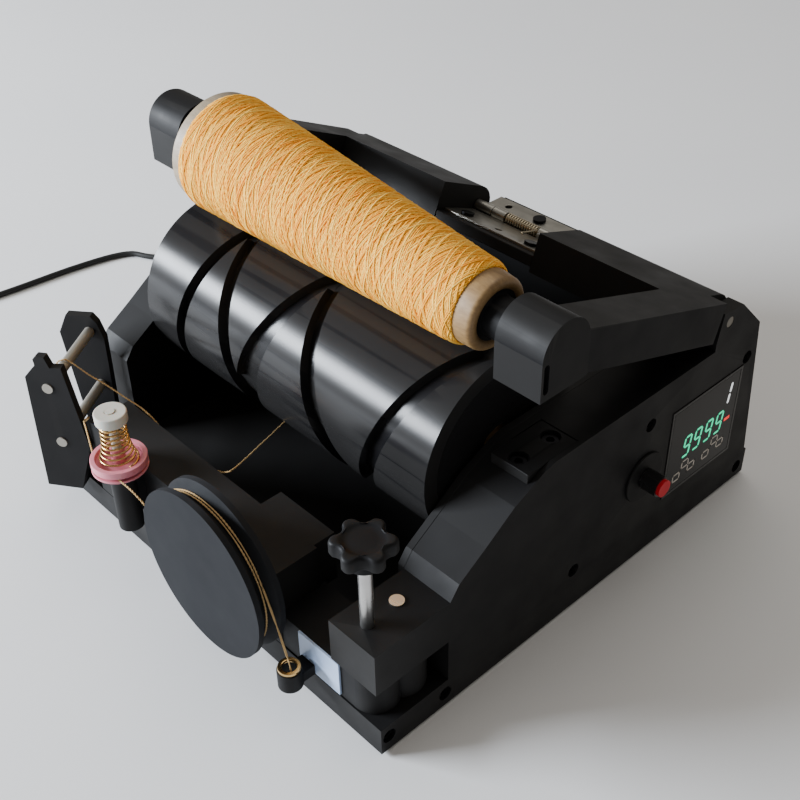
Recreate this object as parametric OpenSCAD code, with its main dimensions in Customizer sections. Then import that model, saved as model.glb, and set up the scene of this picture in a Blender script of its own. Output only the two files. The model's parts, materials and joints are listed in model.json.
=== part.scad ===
// Cone winding machine: grooved drum, hinged cone cradle and swing-out yarn feed beam.
// Millimetres, +Z up, +X to the operator's right, front towards -Y, origin under the middle of the base.

/* [Body] */
// Overall width over both sides
body_w = 238; // [220:1:270]
// Overall depth of the base
body_d = 238; // [228:1:260]
// Height of the top of the base above the table
base_top = 15; // [13:0.5:18]
// Height the rubber feet lift the base
foot_lift = 1.2; // [0.8:0.1:3]
// Thickness of the right housing with its inner plate
housing_w = 28.5; // [26:0.5:34]
// Thickness of the left side plate
plate_w = 22; // [18:0.5:26]
// Distance from the front edge to the front of the side plates
step_y = 36.3; // [36:0.1:42]
// Height of the top of the clamp slab
slab_top = 57.4; // [56:0.2:62]
// Height of the underside of the clamp slab
slab_under = 36.6; // [36:0.2:40]
// Height of the flat tops of the side plates
flat_z = 92.5; // [91:0.5:94]

/* [Drum] */
// Radius of the grooved drum
drum_r = 41.4; // [38:0.1:41.6]
// Distance of the drum axis behind the front edge
drum_y = 93.5; // [90:0.5:98]
// Height of the drum axis
drum_z = 82.8; // [82:0.1:84]
// Gap between drum ends and side plates
drum_gap = 1.5; // [1:0.1:3]
// Width of the narrow parts of the thread groove
groove_w = 7; // [5:0.2:7.4]
// Depth of the thread groove
groove_deep = 3.8; // [2:0.2:4]

/* [Cone] */
// Length of the paper cone
cone_len = 170; // [160:1:172]
// Radius of the large end of the paper cone
cone_r1 = 25.5; // [24:0.1:28]
// Radius of the small end of the paper cone
cone_r2 = 14.9; // [14:0.1:17]
// Thickness of wound yarn on the cone
yarn_t = 2.6; // [2.4:0.1:8]
// Radius of the thick strand that stands for the winding
strand_r = 0.8; // [0.6:0.05:0.9]
// Number of loops of the strand
strand_loops = 18; // [8:1:22]
// Position of the middle of the cone from the machine's middle
cone_x = 1.3; // [-1:0.1:2]
// Radius of the cone spindle
spindle_r = 4; // [3:0.1:4.5]

/* [Swing arm] */
// Distance of the arm pivot in front of the rear edge
pivot_y = 35.5; // [34:0.5:38]
// Height of the arm pivot
pivot_z = 104; // [103.5:0.1:106]
// Half thickness of the arms
arm_h = 9.25; // [8:0.05:9.4]
// Width of each arm
arm_w = 20.5; // [18:0.1:21.5]
// Depth of the rear bars in front of the pivot
bar_deep = 29; // [27:0.5:34]
// Left end of the hinge recess
recess_x1 = -28; // [-34:0.5:-24]
// Right end of the hinge recess
recess_x2 = 33; // [28:0.5:38]

/* [Feed beam] */
// Height of the top of the feed beam
beam_top = 55.4; // [52:0.1:56]
// Depth of the feed beam
beam_d = 21.1; // [18:0.1:22]
// Radius of the counter wheel
wheel_r = 37.4; // [34:0.1:38.5]
// Position of the wheel axis across the machine
wheel_x = 34.5; // [30:0.1:36]
// Height of the wheel axis
wheel_z = 48.5; // [47:0.1:50]
// Position of the tension post across the machine
post_x = -33.7; // [-40:0.1:-28]
// Turn of the guide bracket seen from above
bracket_turn = 35; // [25:1:36]
// Distance between the outer faces of the bracket plates
bracket_len = 49.3; // [40:0.1:49.5]

/* [Controls] */
// Radius of the star knob
star_r = 12.3; // [11:0.1:14]
// Width of the counter display
meter_w = 51; // [48:0.5:52]
// Height of the counter display
meter_h = 48; // [45:0.5:49]
// Radius of the speed knob
speed_r = 4.8; // [4.2:0.1:6]

/* [Mains cord] */
// Diameter of the cord
cord_d = 3.4; // [3:0.1:3.9]

/* [Hidden] */

// Small play for running fits and a gap that keeps parts apart
run_fit = 0.05;
slip_fit = 0.02;
free_gap = 0.4;
fine = 64;
// How far cutting shapes run past a face
over = 1;
side_x = body_w / 2;
plate_in = -side_x + plate_w;
house_in = side_x - housing_w;
front_y = -body_d / 2;
pivot_at = body_d - pivot_y;

// Five feet let into the underside of the base
foot_seat = 3;
foot_r = 6.5;
foot_in = 14;
foot_spots = [[foot_in - side_x, foot_in], [side_x - foot_in, foot_in], [foot_in - side_x, body_d - foot_in],
    [side_x - foot_in, body_d - foot_in], [0, body_d / 2]];

// Right housing: inner plate and wall thickness, electronics space
inner_t = 3.5;
wall = 3;
shell_x = house_in + inner_t;
bay_lip = 8;
bay_rear = 16;
bay_step = 20;
bay_front = step_y + bay_lip;
bay_back = body_d - bay_rear;
bay_low_top = slab_top;
bay_high_front = drum_y + bay_step;
roof = 4;
slot_back = 35.6;
slab_front = -1.65;
panel_in = 11.5;
panel_out = 19.5;
panel_low = 4;
hinge_block_y = 3.6;
hinge_block_low = 8;

// Side profile: share of the way up the slope from the slab to the flat top
slope_y = [0, 0.083, 0.332, 0.605, 0.892, 1];
slope_z = [0, 0.182, 0.442, 0.746, 0.957, 1];
flat_fore = 1.5;
flat_y = drum_y - flat_fore;
back_lean = 10.3;
back_top = body_d - back_lean;

// Ears carrying the arm pivot
ear_t = 8;
ear_front = 8.1;
ear_front_z = 7.6;
ear_nose = [-5.2, 6.2];
ear_rear = [8.7, 5.0];
pin_r = 2.5;
pin_in = 16;
ear_clear = norm(ear_nose) + free_gap;

// Torque tube, motor and drum running gear
tube_r = 6;
tube_bore = 4;
motor_r = 18;
gear_r = 18.5;
motor_len = 81;
motor_gap = 9;
gear_len = 24;
shaft_r = 3;
hub_len = 12;
hub_gap = 3;
shaft_in = 8;
shaft_hole = 10;
axle_r = 4;
bush_r = 8;
drum_x1 = plate_in + drum_gap;
drum_x2 = house_in - drum_gap;
shell_t = 3;
bore_r = drum_r - groove_deep - shell_t;
end_t = 6;
motor_x2 = drum_x2 - end_t - motor_gap;
motor_x1 = motor_x2 - motor_len;
end_in = 0.5;
end_bush_r = 9;
cap_w = 19;
cap_edge = 2.2;
cap_x2 = side_x - cap_edge;
cap_half = 14.5;
cap_sink = 0.3;
cap_screw_y = 9.15;
cap_screw_r = 1.5;
cap_head_r = 3.4;
cap_head_h = 2.4;
cap_hole_r = 3.9;
cap_head_sink = 1.6;
cap_screw_deep = 11;
cap_x = cap_x2 - cap_w / 2;
cap_top = flat_z - cap_sink;
cap_seat = cap_top - cap_head_sink - cap_head_h;

// Cone axis: tilted so that the underside of the package lies along the drum
cone_tilt = atan((cone_r1 - cone_r2) / cone_len);
cone_rm = (cone_r1 + cone_r2) / 2;
cone_z = drum_z + drum_r + free_gap + (cone_rm + yarn_t) * cos(cone_tilt);
spindle_gap = 11.2;
block_w = 22.8;
block_in = cone_len / 2 + spindle_gap;
block_out = max(block_in + block_w, side_x);
block_mid = (block_in + block_out) / 2;
arm_in = side_x - arm_w;
block_r = 13;
block_up = 2;
round_step = 0.05;
block_down = 15;
spindle_in = 10.3;
bush_out = 6;
bush_len = 15;
// Pill-shaped slot in the outer face of each block
slot_w = 2.8;
slot_h = 13;
slot_up = 3;
slot_in = 2.6;
slot_deep = 2;
axle_len = 15;
plug_gap = 2.9;
plug_reach = min(block_in, arm_in) - plug_gap;
plug_r1 = 9.5;
plug_r2 = 8.5;
plug_deep1 = 9;
plug_deep2 = 12;
nose_len = 4;
tube_wall = 1.6;
yarn_end1 = 5;
yarn_end2 = 8.5;
yarn_x1 = -cone_len / 2 + yarn_end1;
yarn_x2 = cone_len / 2 - yarn_end2;
strand_room = 0.4;
core_t = yarn_t - 2 * strand_r - strand_room;

// Hinge at the rear of the swing arm
knuckle_r = 3;
hinge_pin_r = 1.5;
leaf_t = 1.2;
leaf_t0 = -knuckle_r;
leaf_side = 1;
leaf_len = recess_x2 - recess_x1 - leaf_side;
leaf_mid = (recess_x1 + recess_x2) / 2;
leaf_x1 = leaf_mid - leaf_len / 2;
leaf_x2 = leaf_mid + leaf_len / 2;
leaf_front = 24;
leaf_back = 17;
leaf_edge = 5.5;
leaf_hole_r = 1.8;
leaf_step = leaf_len / 3;
leaf_head_r = 3.2;
leaf_head_h = 1.4;
leaf_screw_deep = 4.6;
knuckle_end = 11;
knuckle_mid = 8;
bridge_top = leaf_t0 - slip_fit;
bridge_low = 8.25;
bridge_rear = 8;
hinge_curls = 11;
hinge_pin_out = 0.3;
leaf_lap = 1;
hinge_end_gap = 1.4;
hinge_wire = 0.45;

// Feed beam, its pivot and clamp
beam_air = 0.5;
beam_z0 = base_top + beam_air;
beam_x1 = -72.6;
beam_x2 = 60.7;
tongue_top = 33.7;
tongue_d = 24.4;
tongue_y = 0.5;
nose_r = 10;
nose_y = 10.5;
dowel_edge = 14.5;
dowel_x = side_x - dowel_edge;
dowel_y = 22.8;
dowel_r = 3;
boss_r = 11;
stud_edge = 13.7;
stud_x = side_x - stud_edge;
stud_y = 7.4;
stud_r = 2.7;
star_z0 = 88.5;
star_h = 11.5;
star_hub = 5;
star_turn = -13;
star_roof = 4;
star_core = 0.55;
star_web = 0.78;
star_lobes = 6;
star_lobe = 0.3;
stud_low = 0.6;
sensor_x1 = 25;
sensor_x2 = 58.7;
sensor_d = 10.6;
sensor_z0 = 30;
wheel_y1 = -17.5;
wheel_y2 = -4.6;
wheel_groove = 5;
wheel_axle_r = 3;
axle_wall = 3;
wheel_floor = 0.6;
wheel_lip = 4.6;
post_y = -7.9;
post_boss_r = 5.6;
post_boss_z = 24.5;
post_r = 2;
post_sink = 14;
post_rib = 4;
post_proud = 0.3;
disc_r = 12.1;
disc_z = 57.4;
disc_t = 1;
disc_gap = 1.4;
dish_t = 3.2;
dish_floor = 1.2;
dish_rim = 2.2;
dish_stem_r = 3;
dish_stem = 8;
nut_z = 81.5;
nut_h = 5;
nut_r = 6.9;
spring_r = 5.3;
spring_low_r = 8.4;
spring_wire = 0.5;
spring_gap = 0.1;
spring_flare = 3;
dish_z = disc_z + disc_t + disc_gap;
spring_curls = 8;
eye_x = 77.9;
eye_y = -9.9;
eye_z = 25.6;
eye_r = 5.1;
eye_z0 = 15.2;
eye_bore = 2.9;
eye_ring_t = 1.5;
eye_ring_in = 0.4;
eye_wall = 0.7;
eye_arm_w = 4;
eye_arm_low = 4;
strip_x1 = 72.6;
strip_x2 = 96.4;
strip_t = 1;

// Guide bracket: corner on the base, plate outline and rod centres (along, height)
corner_x = -93;
corner_y = -16.8;
bracket_t = 4;
front_plate = [[0, 15.5], [1.6, 78], [6.5, 83.5], [7.6, 83.6], [7.2, 88], [8.6, 89.4], [12.6, 89.4],
    [14.4, 84.1], [19.6, 84.5], [25.4, 41], [17.2, 15.5]];
back_plate = [[1.5, 15.5], [-3.9, 71], [0.9, 81], [13.1, 81.5], [15.8, 78], [18.2, 69.5], [17.2, 15.5]];
rod_upper = [11.4, 73];
rod_lower = [12.3, 43];
rod_r = 2.5;
floor_t = 4;
foot_x1 = -104;
foot_h = 8;
foot_y1 = 4;
foot_y2 = 17;
bracket_floor = base_top + over + floor_t;
bracket_foot_w = 17.2;
rod_proud = 0.6;

// Outer-face controls (distance from the front edge, height)
meter_back = 43.4;
meter_y = body_d - meter_back;
meter_z = 49.2;
meter_gap = 0.4;
meter_deep = 19;
meter_proud = 0.4;
meter_rim = 1.5;
meter_sink = 1.2;
window_gap = 0.1;
pot_back = 85.6;
pot_y = body_d - pot_back;
pot_z = 48.9;
pot_len = 9;
pot_r = 8;
pot_bush_r = 3.5;
pot_ring_r = 12;
pot_ring_t = 1.2;
pot_bush_out = 1.4;
knob_air = 1.8;
knob_x = side_x + knob_air;
knob_len = 8;
knob_hole = 6;
cap_in = 0.8;
cap_len = 1.6;
screw_front = [4.2, 8.8];
screw_low = [34.1, 7.9];
screw_drum = [16.4, 22.6];
screw_pot = [1.1, 75.9];
screw_back = [15.7, 76.2];
screw_rear = [6.3, 7.4];
screw_spots = [screw_front, screw_low, [drum_y + screw_drum[0], screw_drum[1]],
    [pot_y + screw_pot[0], screw_pot[1]], [body_d - screw_back[0], screw_back[1]],
    [body_d - screw_rear[0], screw_rear[1]]];
screw_r = 3.2;
screw_sink = 1.5;
screw_slot = 3;
board_front = 2;
board_back = 4;
board_y1 = bay_high_front + board_front;
board_y2 = meter_y - meter_w / 2 - board_back;
board_t = 1.6;
board_up = 10;
chip_y = 4;
chip_len = 10;
chip_up = 14;
chip_h = 12;
chip_t = 7.4;
board_pin_r = 1.5;
screw_deep = 7;

// Mains cord: hand-picked way points on the table, then the coil and the plug
gland_x = -60;
gland_z = 26;
gland_r = 4;
gland_rim_r = 6.5;
gland_cone_r = 5;
gland_rim = 3;
gland_lip = 0.8;
cord_z = 1.8;
cord_way = [[-60, 130, 26], [-60, 136, 26], [-60, 150, 25], [-66, 172, 14], [-84, 186, 3], [-112, 182, 1.8],
    [-160, 140, 1.8], [-210, 70, 1.8], [-252, 32, 1.8], [-270, 20, 1.8], [-278, -10, 1.8],
    [-283, -60, 1.8], [-290, -98, 1.8], [-304, -122, 1.8], [-318, -128, 1.8], [-326, -128, 1.8]];
coil_x = -334;
coil_y = -100;
coil_r = 28;
coil_in = 3.25;
coil_climb = 0.5;
coil_air = 0.9;
coil_step = cord_d + coil_air;
coil_rings = 24;
coil_lead = 8;
plug_len = 36;
plug_w = 14;
plug_h = 12;
relief_len = 12;
prong_r = 2;
prong_len = 19;
prong_gap = 8;

// Yarn way points: up through the eyelet, once round the wheel and over its top again, between the tension
// discs, under the lower and over the upper guide rod, behind the beam and on to the drum
yarn_d = 0.9;
wrap_sink = 3.2;
wrap_from = 18;
wrap_turn = 516;
wrap_steps = 18;
wrap_side = 0.85;
eye_dip = 6;
eye_rise = 3;
yarn_way = concat([[eye_x, eye_y, eye_z - eye_dip], [eye_x, eye_y, eye_z + eye_rise]],
    [for (k = [0 : wrap_steps])
        let (a = wrap_from + wrap_turn * k / wrap_steps)
        [wheel_x + (wheel_r - wrap_sink) * cos(a),
            (wheel_y1 + wheel_y2) / 2 + wrap_side * (1 - 2 * k / wrap_steps),
            wheel_z + (wheel_r - wrap_sink) * sin(a)]],
    [[-2.4, -12.5, 51.6], [-6.4, -13.1, 54.2], [-11, -13.7, 56.9], [-16, -14.1, 58.7], [-21, -14.3, 59.1],
    [-27, -14.4, 59.1], [-33, -14.9, 59.1], [-39, -14.7, 59.1], [-45, -13.6, 59.1], [-52, -10.8, 58.6],
    [-60, -7.4, 57.8], [-67, -4.4, 57], [-72.6, -1.9, 56.4], [-75.4, 1.9, 54.6], [-81.2, 1.2, 48],
    [-86.3, -0.2, 41.1], [-88.9, -1.2, 39.6], [-92.1, -2.5, 42.6], [-93.8, -0.7, 58], [-95.6, 1, 73],
    [-93.4, 3.7, 76.5], [-91.5, 6.2, 74.9], [-84, 10, 70], [-76, 14.2, 65.6], [-68, 17.8, 61.2],
    [-61.5, 21, 57.4], [-56, 22.6, 54], [-49, 22.7, 51.6], [-38, 22.7, 51], [-26, 22.7, 51],
    [-14, 22.7, 51.2], [-6, 22.9, 52.6], [-1.6, 23.7, 54.7], [-0.4, 26, 55.4], [-4.8, 36, 53],
    [-9.9, 46.5, 50.5], [-14.9, 57, 48], [-20, 67.5, 45.6], [-25, 78, 43.1], [-27.8, 83.7, 41.5]]);

// Positions by distance from the front edge
module from_front() {
    translate([0, front_y, 0]) children();
}

// Box between two corners
module slab(x1, x2, y1, y2, z1, z2) {
    translate([x1, y1, z1]) cube([x2 - x1, y2 - y1, z2 - z1]);
}

// Round bars along the three axes
module rod_x(r, x1, x2, y, z) {
    translate([x1, y, z]) rotate([0, 90, 0]) cylinder(r = r, h = x2 - x1, $fn = fine);
}

module rod_y(r, y1, y2, x, z) {
    translate([x, y1, z]) rotate([-90, 0, 0]) cylinder(r = r, h = y2 - y1, $fn = fine);
}

module rod_z(r, z1, z2, x, y) {
    translate([x, y, z1]) cylinder(r = r, h = z2 - z1, $fn = fine);
}

// Side view outline pushed across the machine
module across(points, x1, x2) {
    translate([x1, 0, 0]) rotate([90, 0, 90]) linear_extrude(x2 - x1) polygon(points);
}

// Tube along a list of points; turn_ref is any direction the path never follows
function unit(v) = v / norm(v);
function way_dir(p, i) =
    unit(p[min(i + 1, len(p) - 1)] - p[max(i - 1, 0)]);
function ring_at(p, i, r, sides, turn_ref) =
    let (t = way_dir(p, i), a = unit(cross(t, turn_ref)), b = cross(t, a))
    [for (k = [0 : sides - 1]) p[i] + r * (cos(360 * k / sides) * a + sin(360 * k / sides) * b)];

module way_tube(p, r, sides, turn_ref) {
    n = len(p);
    rings = [for (i = [0 : n - 1]) each ring_at(p, i, r, sides, turn_ref)];
    walls = [for (i = [0 : n - 2], k = [0 : sides - 1])
        let (k2 = (k + 1) % sides)
        [i * sides + k, (i + 1) * sides + k, (i + 1) * sides + k2, i * sides + k2]];
    start_cap = [for (k = [0 : sides - 1]) k];
    end_cap = [for (k = [0 : sides - 1]) n * sides - 1 - k];
    polyhedron(points = rings, faces = concat([start_cap, end_cap], walls), convexity = 6);
}

// Smooth points between the way points
function bend(p0, p1, p2, p3, t) = 0.5 * (2 * p1 + (p2 - p0) * t
    + (2 * p0 - 5 * p1 + 4 * p2 - p3) * t * t + (3 * p1 - p0 - 3 * p2 + p3) * t * t * t);
function smooth_way(w, steps) = let (m = len(w) - 1) concat([for (i = [0 : m - 1], s = [0 : steps - 1])
    bend(w[max(i - 1, 0)], w[i], w[i + 1], w[min(i + 2, m)], s / steps)], [w[m]]);

// Straight ends, one strand thick, on a coiled path
function end_out(p, d) = let (m = len(p) - 1)
    concat([p[0] + d * unit(p[0] - p[1])], p, [p[m] + d * unit(p[m] - p[m - 1])]);
function self_gap(p, per, r) = min([for (i = [0 : len(p) - 1 - per / 2])
    for (j = [i + per / 2 : len(p) - 1]) norm(p[i] - p[j])]) - 2 * r;

// Side outlines
function slope_points() = [for (i = [0 : len(slope_y) - 1])
    [step_y + slope_y[i] * (flat_y - step_y), slab_top + slope_z[i] * (flat_z - slab_top)]];
function side_points() = concat([[step_y, base_top]], slope_points(),
    [[back_top, flat_z], [body_d - back_lean * base_top / flat_z, base_top]]);
function housing_points() = concat([[slot_back, base_top], [slot_back, slab_under], [slab_front, slab_under],
    [slab_front, slab_top]], slope_points(),
    [[back_top, flat_z], [body_d - back_lean * base_top / flat_z, base_top]]);
function ear_points() = [[pivot_at - ear_front, flat_z - roof], [pivot_at - ear_front, pivot_z - ear_front_z],
    [pivot_at + ear_nose[0], pivot_z + ear_nose[1]], [pivot_at + ear_rear[0], pivot_z + ear_rear[1]],
    [back_top, flat_z], [back_top, flat_z - roof]];

module base_plate() {
    color([0.07, 0.07, 0.08]) from_front() difference() {
        slab(-side_x, side_x, 0, body_d, foot_lift, base_top);
        for (p = foot_spots)
            rod_z(foot_r, foot_lift - over, foot_lift + foot_seat, p[0], p[1]);
        for (s = screw_spots)
            if (s[1] < base_top)
                rod_x(screw_r + slip_fit, side_x - screw_deep, side_x + over, s[0], s[1]);
    }
}

module rubber_feet() {
    color([0.12, 0.12, 0.12]) from_front()
        for (p = foot_spots)
            rod_z(foot_r - slip_fit, 0, foot_lift + foot_seat, p[0], p[1]);
}

module right_housing() {
    color([0.08, 0.08, 0.09]) from_front() difference() {
        union() {
            across(housing_points(), shell_x, side_x);
            across(ear_points(), side_x - ear_t, side_x);
        }
        slab(shell_x - over, side_x - wall, bay_front, bay_back, base_top - over, bay_low_top);
        slab(shell_x - over, side_x - wall, bay_high_front, bay_back, base_top - over, flat_z - roof);
        slab(side_x - wall - over, side_x + over, meter_y - meter_w / 2 - meter_gap,
            meter_y + meter_w / 2 + meter_gap, meter_z - meter_h / 2 - meter_gap,
            meter_z + meter_h / 2 + meter_gap);
        slab(cap_x2 - cap_w, cap_x2, drum_y - cap_half, drum_y + cap_half, drum_z, flat_z + over);
        rod_x(tube_r + slip_fit, shell_x - over, side_x - wall, drum_y, drum_z);
        for (s = [-1, 1])
            rod_z(cap_screw_r + slip_fit, drum_z - cap_screw_deep - over, drum_z + over, cap_x,
                drum_y + s * cap_screw_y);
        rod_x(pot_bush_r + slip_fit, side_x - wall - over, side_x + over, pot_y, pot_z);
        rod_x(pin_r + slip_fit, side_x - ear_t - over, side_x + over, pivot_at, pivot_z);
        rod_z(dowel_r + slip_fit, slab_under - over, slab_top + over, dowel_x, dowel_y);
        rod_z(stud_r + run_fit, slab_under - over, slab_top + over, stud_x, stud_y);
        for (s = screw_spots)
            if (s[1] > base_top)
                rod_x(screw_r + slip_fit, side_x - screw_deep, side_x + over, s[0], s[1]);
    }
}

module right_inner_plate() {
    color([0.08, 0.08, 0.09]) from_front() difference() {
        across(side_points(), house_in, shell_x - slip_fit);
        rod_x(tube_r + slip_fit, house_in - over, shell_x + over, drum_y, drum_z);
    }
}

module left_side_plate() {
    color([0.08, 0.08, 0.09]) from_front() difference() {
        union() {
            across(side_points(), -side_x, plate_in);
            across(ear_points(), -side_x, -side_x + ear_t);
        }
        rod_x(bush_r + slip_fit, plate_in - axle_len, plate_in + over, drum_y, drum_z);
        rod_x(pin_r + slip_fit, -side_x - over, -side_x + ear_t + over, pivot_at, pivot_z);
    }
}

module rear_panel() {
    color([0.08, 0.08, 0.09]) from_front() difference() {
        union() {
            slab(plate_in + slip_fit, house_in - slip_fit, pivot_at + panel_in, pivot_at + panel_out,
                base_top + slip_fit, flat_z - panel_low);
            slab(recess_x1 + leaf_side, recess_x2 - leaf_side, pivot_at + hinge_block_y, pivot_at + panel_out,
                flat_z - hinge_block_low, pivot_z + bridge_top);
        }
        rod_y(gland_r + slip_fit, pivot_at + panel_in - over, pivot_at + panel_out + over, gland_x, gland_z);
        rod_z(leaf_hole_r + slip_fit, pivot_z + bridge_top - 2 * leaf_screw_deep, pivot_z, leaf_mid,
            pivot_at + leaf_back - leaf_edge);
    }
}

// Hinge at the arm pivot: one leaf on the rear panel, one on the arm bridge, and a coil between
module knuckle(x1, x2) {
    difference() {
        rod_x(knuckle_r, x1, x2, 0, 0);
        rod_x(hinge_pin_r + run_fit, x1 - over, x2 + over, 0, 0);
    }
}

module at_pivot(slope) {
    translate([0, pivot_at, pivot_z]) rotate([-slope, 0, 0]) children();
}

module hinge_back_leaf() {
    color([0.72, 0.72, 0.70]) from_front() at_pivot(0) {
        for (x = [leaf_x1, leaf_x2 - knuckle_end])
            knuckle(x, x + knuckle_end);
        difference() {
            slab(leaf_x1, leaf_x2, leaf_lap, leaf_back, leaf_t0, leaf_t0 + leaf_t);
            slab(leaf_x1 + knuckle_end, leaf_x2 - knuckle_end,
                0, knuckle_r + free_gap, leaf_t0 - over, 0);
            for (s = [-1, 0, 1])
                rod_z(leaf_hole_r + slip_fit, leaf_t0 - over, 0, leaf_mid + s * leaf_step,
                    leaf_back - leaf_edge);
        }
    }
}

module hinge_pin() {
    color([0.75, 0.75, 0.75]) from_front() at_pivot(0)
        rod_x(hinge_pin_r, leaf_x1 - hinge_pin_out, leaf_x2 + hinge_pin_out, 0, 0);
}

hinge_spring_half = leaf_len / 2 - knuckle_end - knuckle_mid - hinge_end_gap;
hinge_coil_r = 2.4;
wire_rings = 8;
hinge_n = hinge_curls * wire_rings;
hinge_points = end_out([for (i = [0 : hinge_n])
    let (a = 360 * i / wire_rings)
    [leaf_mid - hinge_spring_half + 2 * hinge_spring_half * i / hinge_n, hinge_coil_r * cos(a),
        hinge_coil_r * sin(a)]], 2 * hinge_wire);
echo("hinge_spring least gap", self_gap(hinge_points, wire_rings, hinge_wire));

module hinge_spring() {
    color([0.70, 0.70, 0.68]) from_front() at_pivot(0) way_tube(hinge_points, hinge_wire, 6, [1, 0, 0]);
}

module hinge_front_leaf() {
    color([0.72, 0.72, 0.70]) from_front() at_pivot(arm_slope(leaf_mid)) {
        for (x = [leaf_x1 + knuckle_end + free_gap,
            leaf_x2 - knuckle_end - knuckle_mid - free_gap])
            knuckle(x, x + knuckle_mid);
        difference() {
            slab(leaf_x1, leaf_x2, -leaf_front, -leaf_lap, leaf_t0, leaf_t0 + leaf_t);
            for (x = [leaf_x1 - over, leaf_x2 - knuckle_end - free_gap])
                slab(x, x + knuckle_end + free_gap + over, -knuckle_r - free_gap, 0, leaf_t0 - over, 0);
            slab(leaf_mid - hinge_spring_half - over, leaf_mid + hinge_spring_half + over,
                -knuckle_r - free_gap, 0, leaf_t0 - over, 0);
            for (s = [-1, 0, 1])
                rod_z(leaf_hole_r + slip_fit, leaf_t0 - over, 0, leaf_mid + s * leaf_step,
                    leaf_edge - leaf_front);
        }
    }
}

// Pan head screw through a hinge leaf
module leaf_screw(x, y) {
    rod_z(leaf_hole_r, bridge_top - leaf_screw_deep, leaf_t0 + leaf_t + slip_fit, x, y);
    rod_z(leaf_head_r, leaf_t0 + leaf_t + slip_fit, leaf_t0 + leaf_t + leaf_head_h, x, y);
}

module hinge_screws() {
    color([0.10, 0.10, 0.10]) from_front() at_pivot(arm_slope(leaf_mid))
        for (s = [-1, 1])
            leaf_screw(leaf_mid + s * leaf_step, leaf_edge - leaf_front);
}

module body_screws() {
    color([0.15, 0.15, 0.16]) from_front() {
        for (s = screw_spots)
            difference() {
                rod_x(screw_r, side_x - screw_deep + window_gap, side_x - screw_sink, s[0], s[1]);
                rod_x(screw_r / 2, side_x - screw_slot, side_x, s[0], s[1]);
            }
        at_pivot(0)
            leaf_screw(leaf_mid, leaf_back - leaf_edge);
    }
}

// Drum drive: the motor sits still inside the drum on a clamped tube
module clamp_cap() {
    color([0.07, 0.07, 0.08]) from_front() difference() {
        slab(cap_x2 - cap_w + window_gap, cap_x2 - window_gap, drum_y - cap_half + window_gap,
            drum_y + cap_half - window_gap, drum_z + 2 * window_gap, cap_top);
        rod_x(tube_r + slip_fit, cap_x2 - cap_w - over, cap_x2 + over, drum_y, drum_z);
        for (s = [-1, 1]) {
            rod_z(cap_screw_r + slip_fit, drum_z - over, flat_z, cap_x, drum_y + s * cap_screw_y);
            rod_z(cap_hole_r, cap_seat, flat_z + over, cap_x, drum_y + s * cap_screw_y);
        }
    }
}

module clamp_screws() {
    color([0.30, 0.30, 0.32]) from_front()
        for (s = [-1, 1]) {
            rod_z(cap_screw_r, drum_z - cap_screw_deep, cap_seat + slip_fit, cap_x, drum_y + s * cap_screw_y);
            difference() {
                rod_z(cap_head_r, cap_seat + slip_fit, cap_seat + cap_head_h, cap_x,
                    drum_y + s * cap_screw_y);
                rod_z(cap_head_r / 2, cap_seat + over, cap_seat + cap_head_h + over, cap_x,
                    drum_y + s * cap_screw_y);
            }
        }
}

module torque_tube() {
    color([0.70, 0.70, 0.72]) from_front() difference() {
        rod_x(tube_r, motor_x2 + slip_fit, side_x - wall - window_gap, drum_y, drum_z);
        rod_x(tube_bore, motor_x2 - over, side_x, drum_y, drum_z);
    }
}

module drive_motor() {
    color([0.55, 0.55, 0.56]) from_front() difference() {
        union() {
            rod_x(motor_r, motor_x1 + gear_len, motor_x2, drum_y, drum_z);
            rod_x(gear_r, motor_x1, motor_x1 + gear_len, drum_y, drum_z);
        }
        rod_x(shaft_r + run_fit, motor_x1 - over, motor_x1 + shaft_hole, drum_y, drum_z);
    }
}

module axle_bush() {
    color([0.65, 0.52, 0.28]) from_front() difference() {
        rod_x(bush_r, plate_in - axle_len + window_gap, plate_in, drum_y, drum_z);
        rod_x(axle_r + run_fit, plate_in - axle_len - over, plate_in + over, drum_y, drum_z);
    }
}

module meter_body() {
    color([0.05, 0.05, 0.06]) from_front() difference() {
        slab(side_x - meter_deep, side_x + meter_proud, meter_y - meter_w / 2, meter_y + meter_w / 2,
            meter_z - meter_h / 2, meter_z + meter_h / 2);
        slab(side_x - meter_sink, side_x + over, meter_y - meter_w / 2 + meter_rim,
            meter_y + meter_w / 2 - meter_rim, meter_z - meter_h / 2 + meter_rim,
            meter_z + meter_h / 2 - meter_rim);
    }
}

module meter_window() {
    inset = meter_rim + window_gap;
    color([0.02, 0.02, 0.03]) from_front()
        slab(side_x - meter_sink + slip_fit, side_x + meter_proud - window_gap, meter_y - meter_w / 2 + inset,
            meter_y + meter_w / 2 - inset, meter_z - meter_h / 2 + inset, meter_z + meter_h / 2 - inset);
}

module speed_pot() {
    color([0.45, 0.45, 0.46]) from_front() difference() {
        union() {
            rod_x(pot_r, side_x - wall - pot_len, side_x - wall - slip_fit, pot_y, pot_z);
            rod_x(pot_bush_r, side_x - wall - over, side_x + pot_bush_out, pot_y, pot_z);
        }
        rod_x(shaft_r / 2 + run_fit, side_x - wall - knob_hole, side_x + pot_bush_out + over, pot_y, pot_z);
    }
}

module pot_washer() {
    color([0.06, 0.06, 0.06]) from_front() difference() {
        rod_x(pot_ring_r, side_x + slip_fit, side_x + pot_ring_t, pot_y, pot_z);
        rod_x(pot_bush_r + slip_fit, side_x - over, side_x + pot_ring_t + over, pot_y, pot_z);
    }
}

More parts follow.
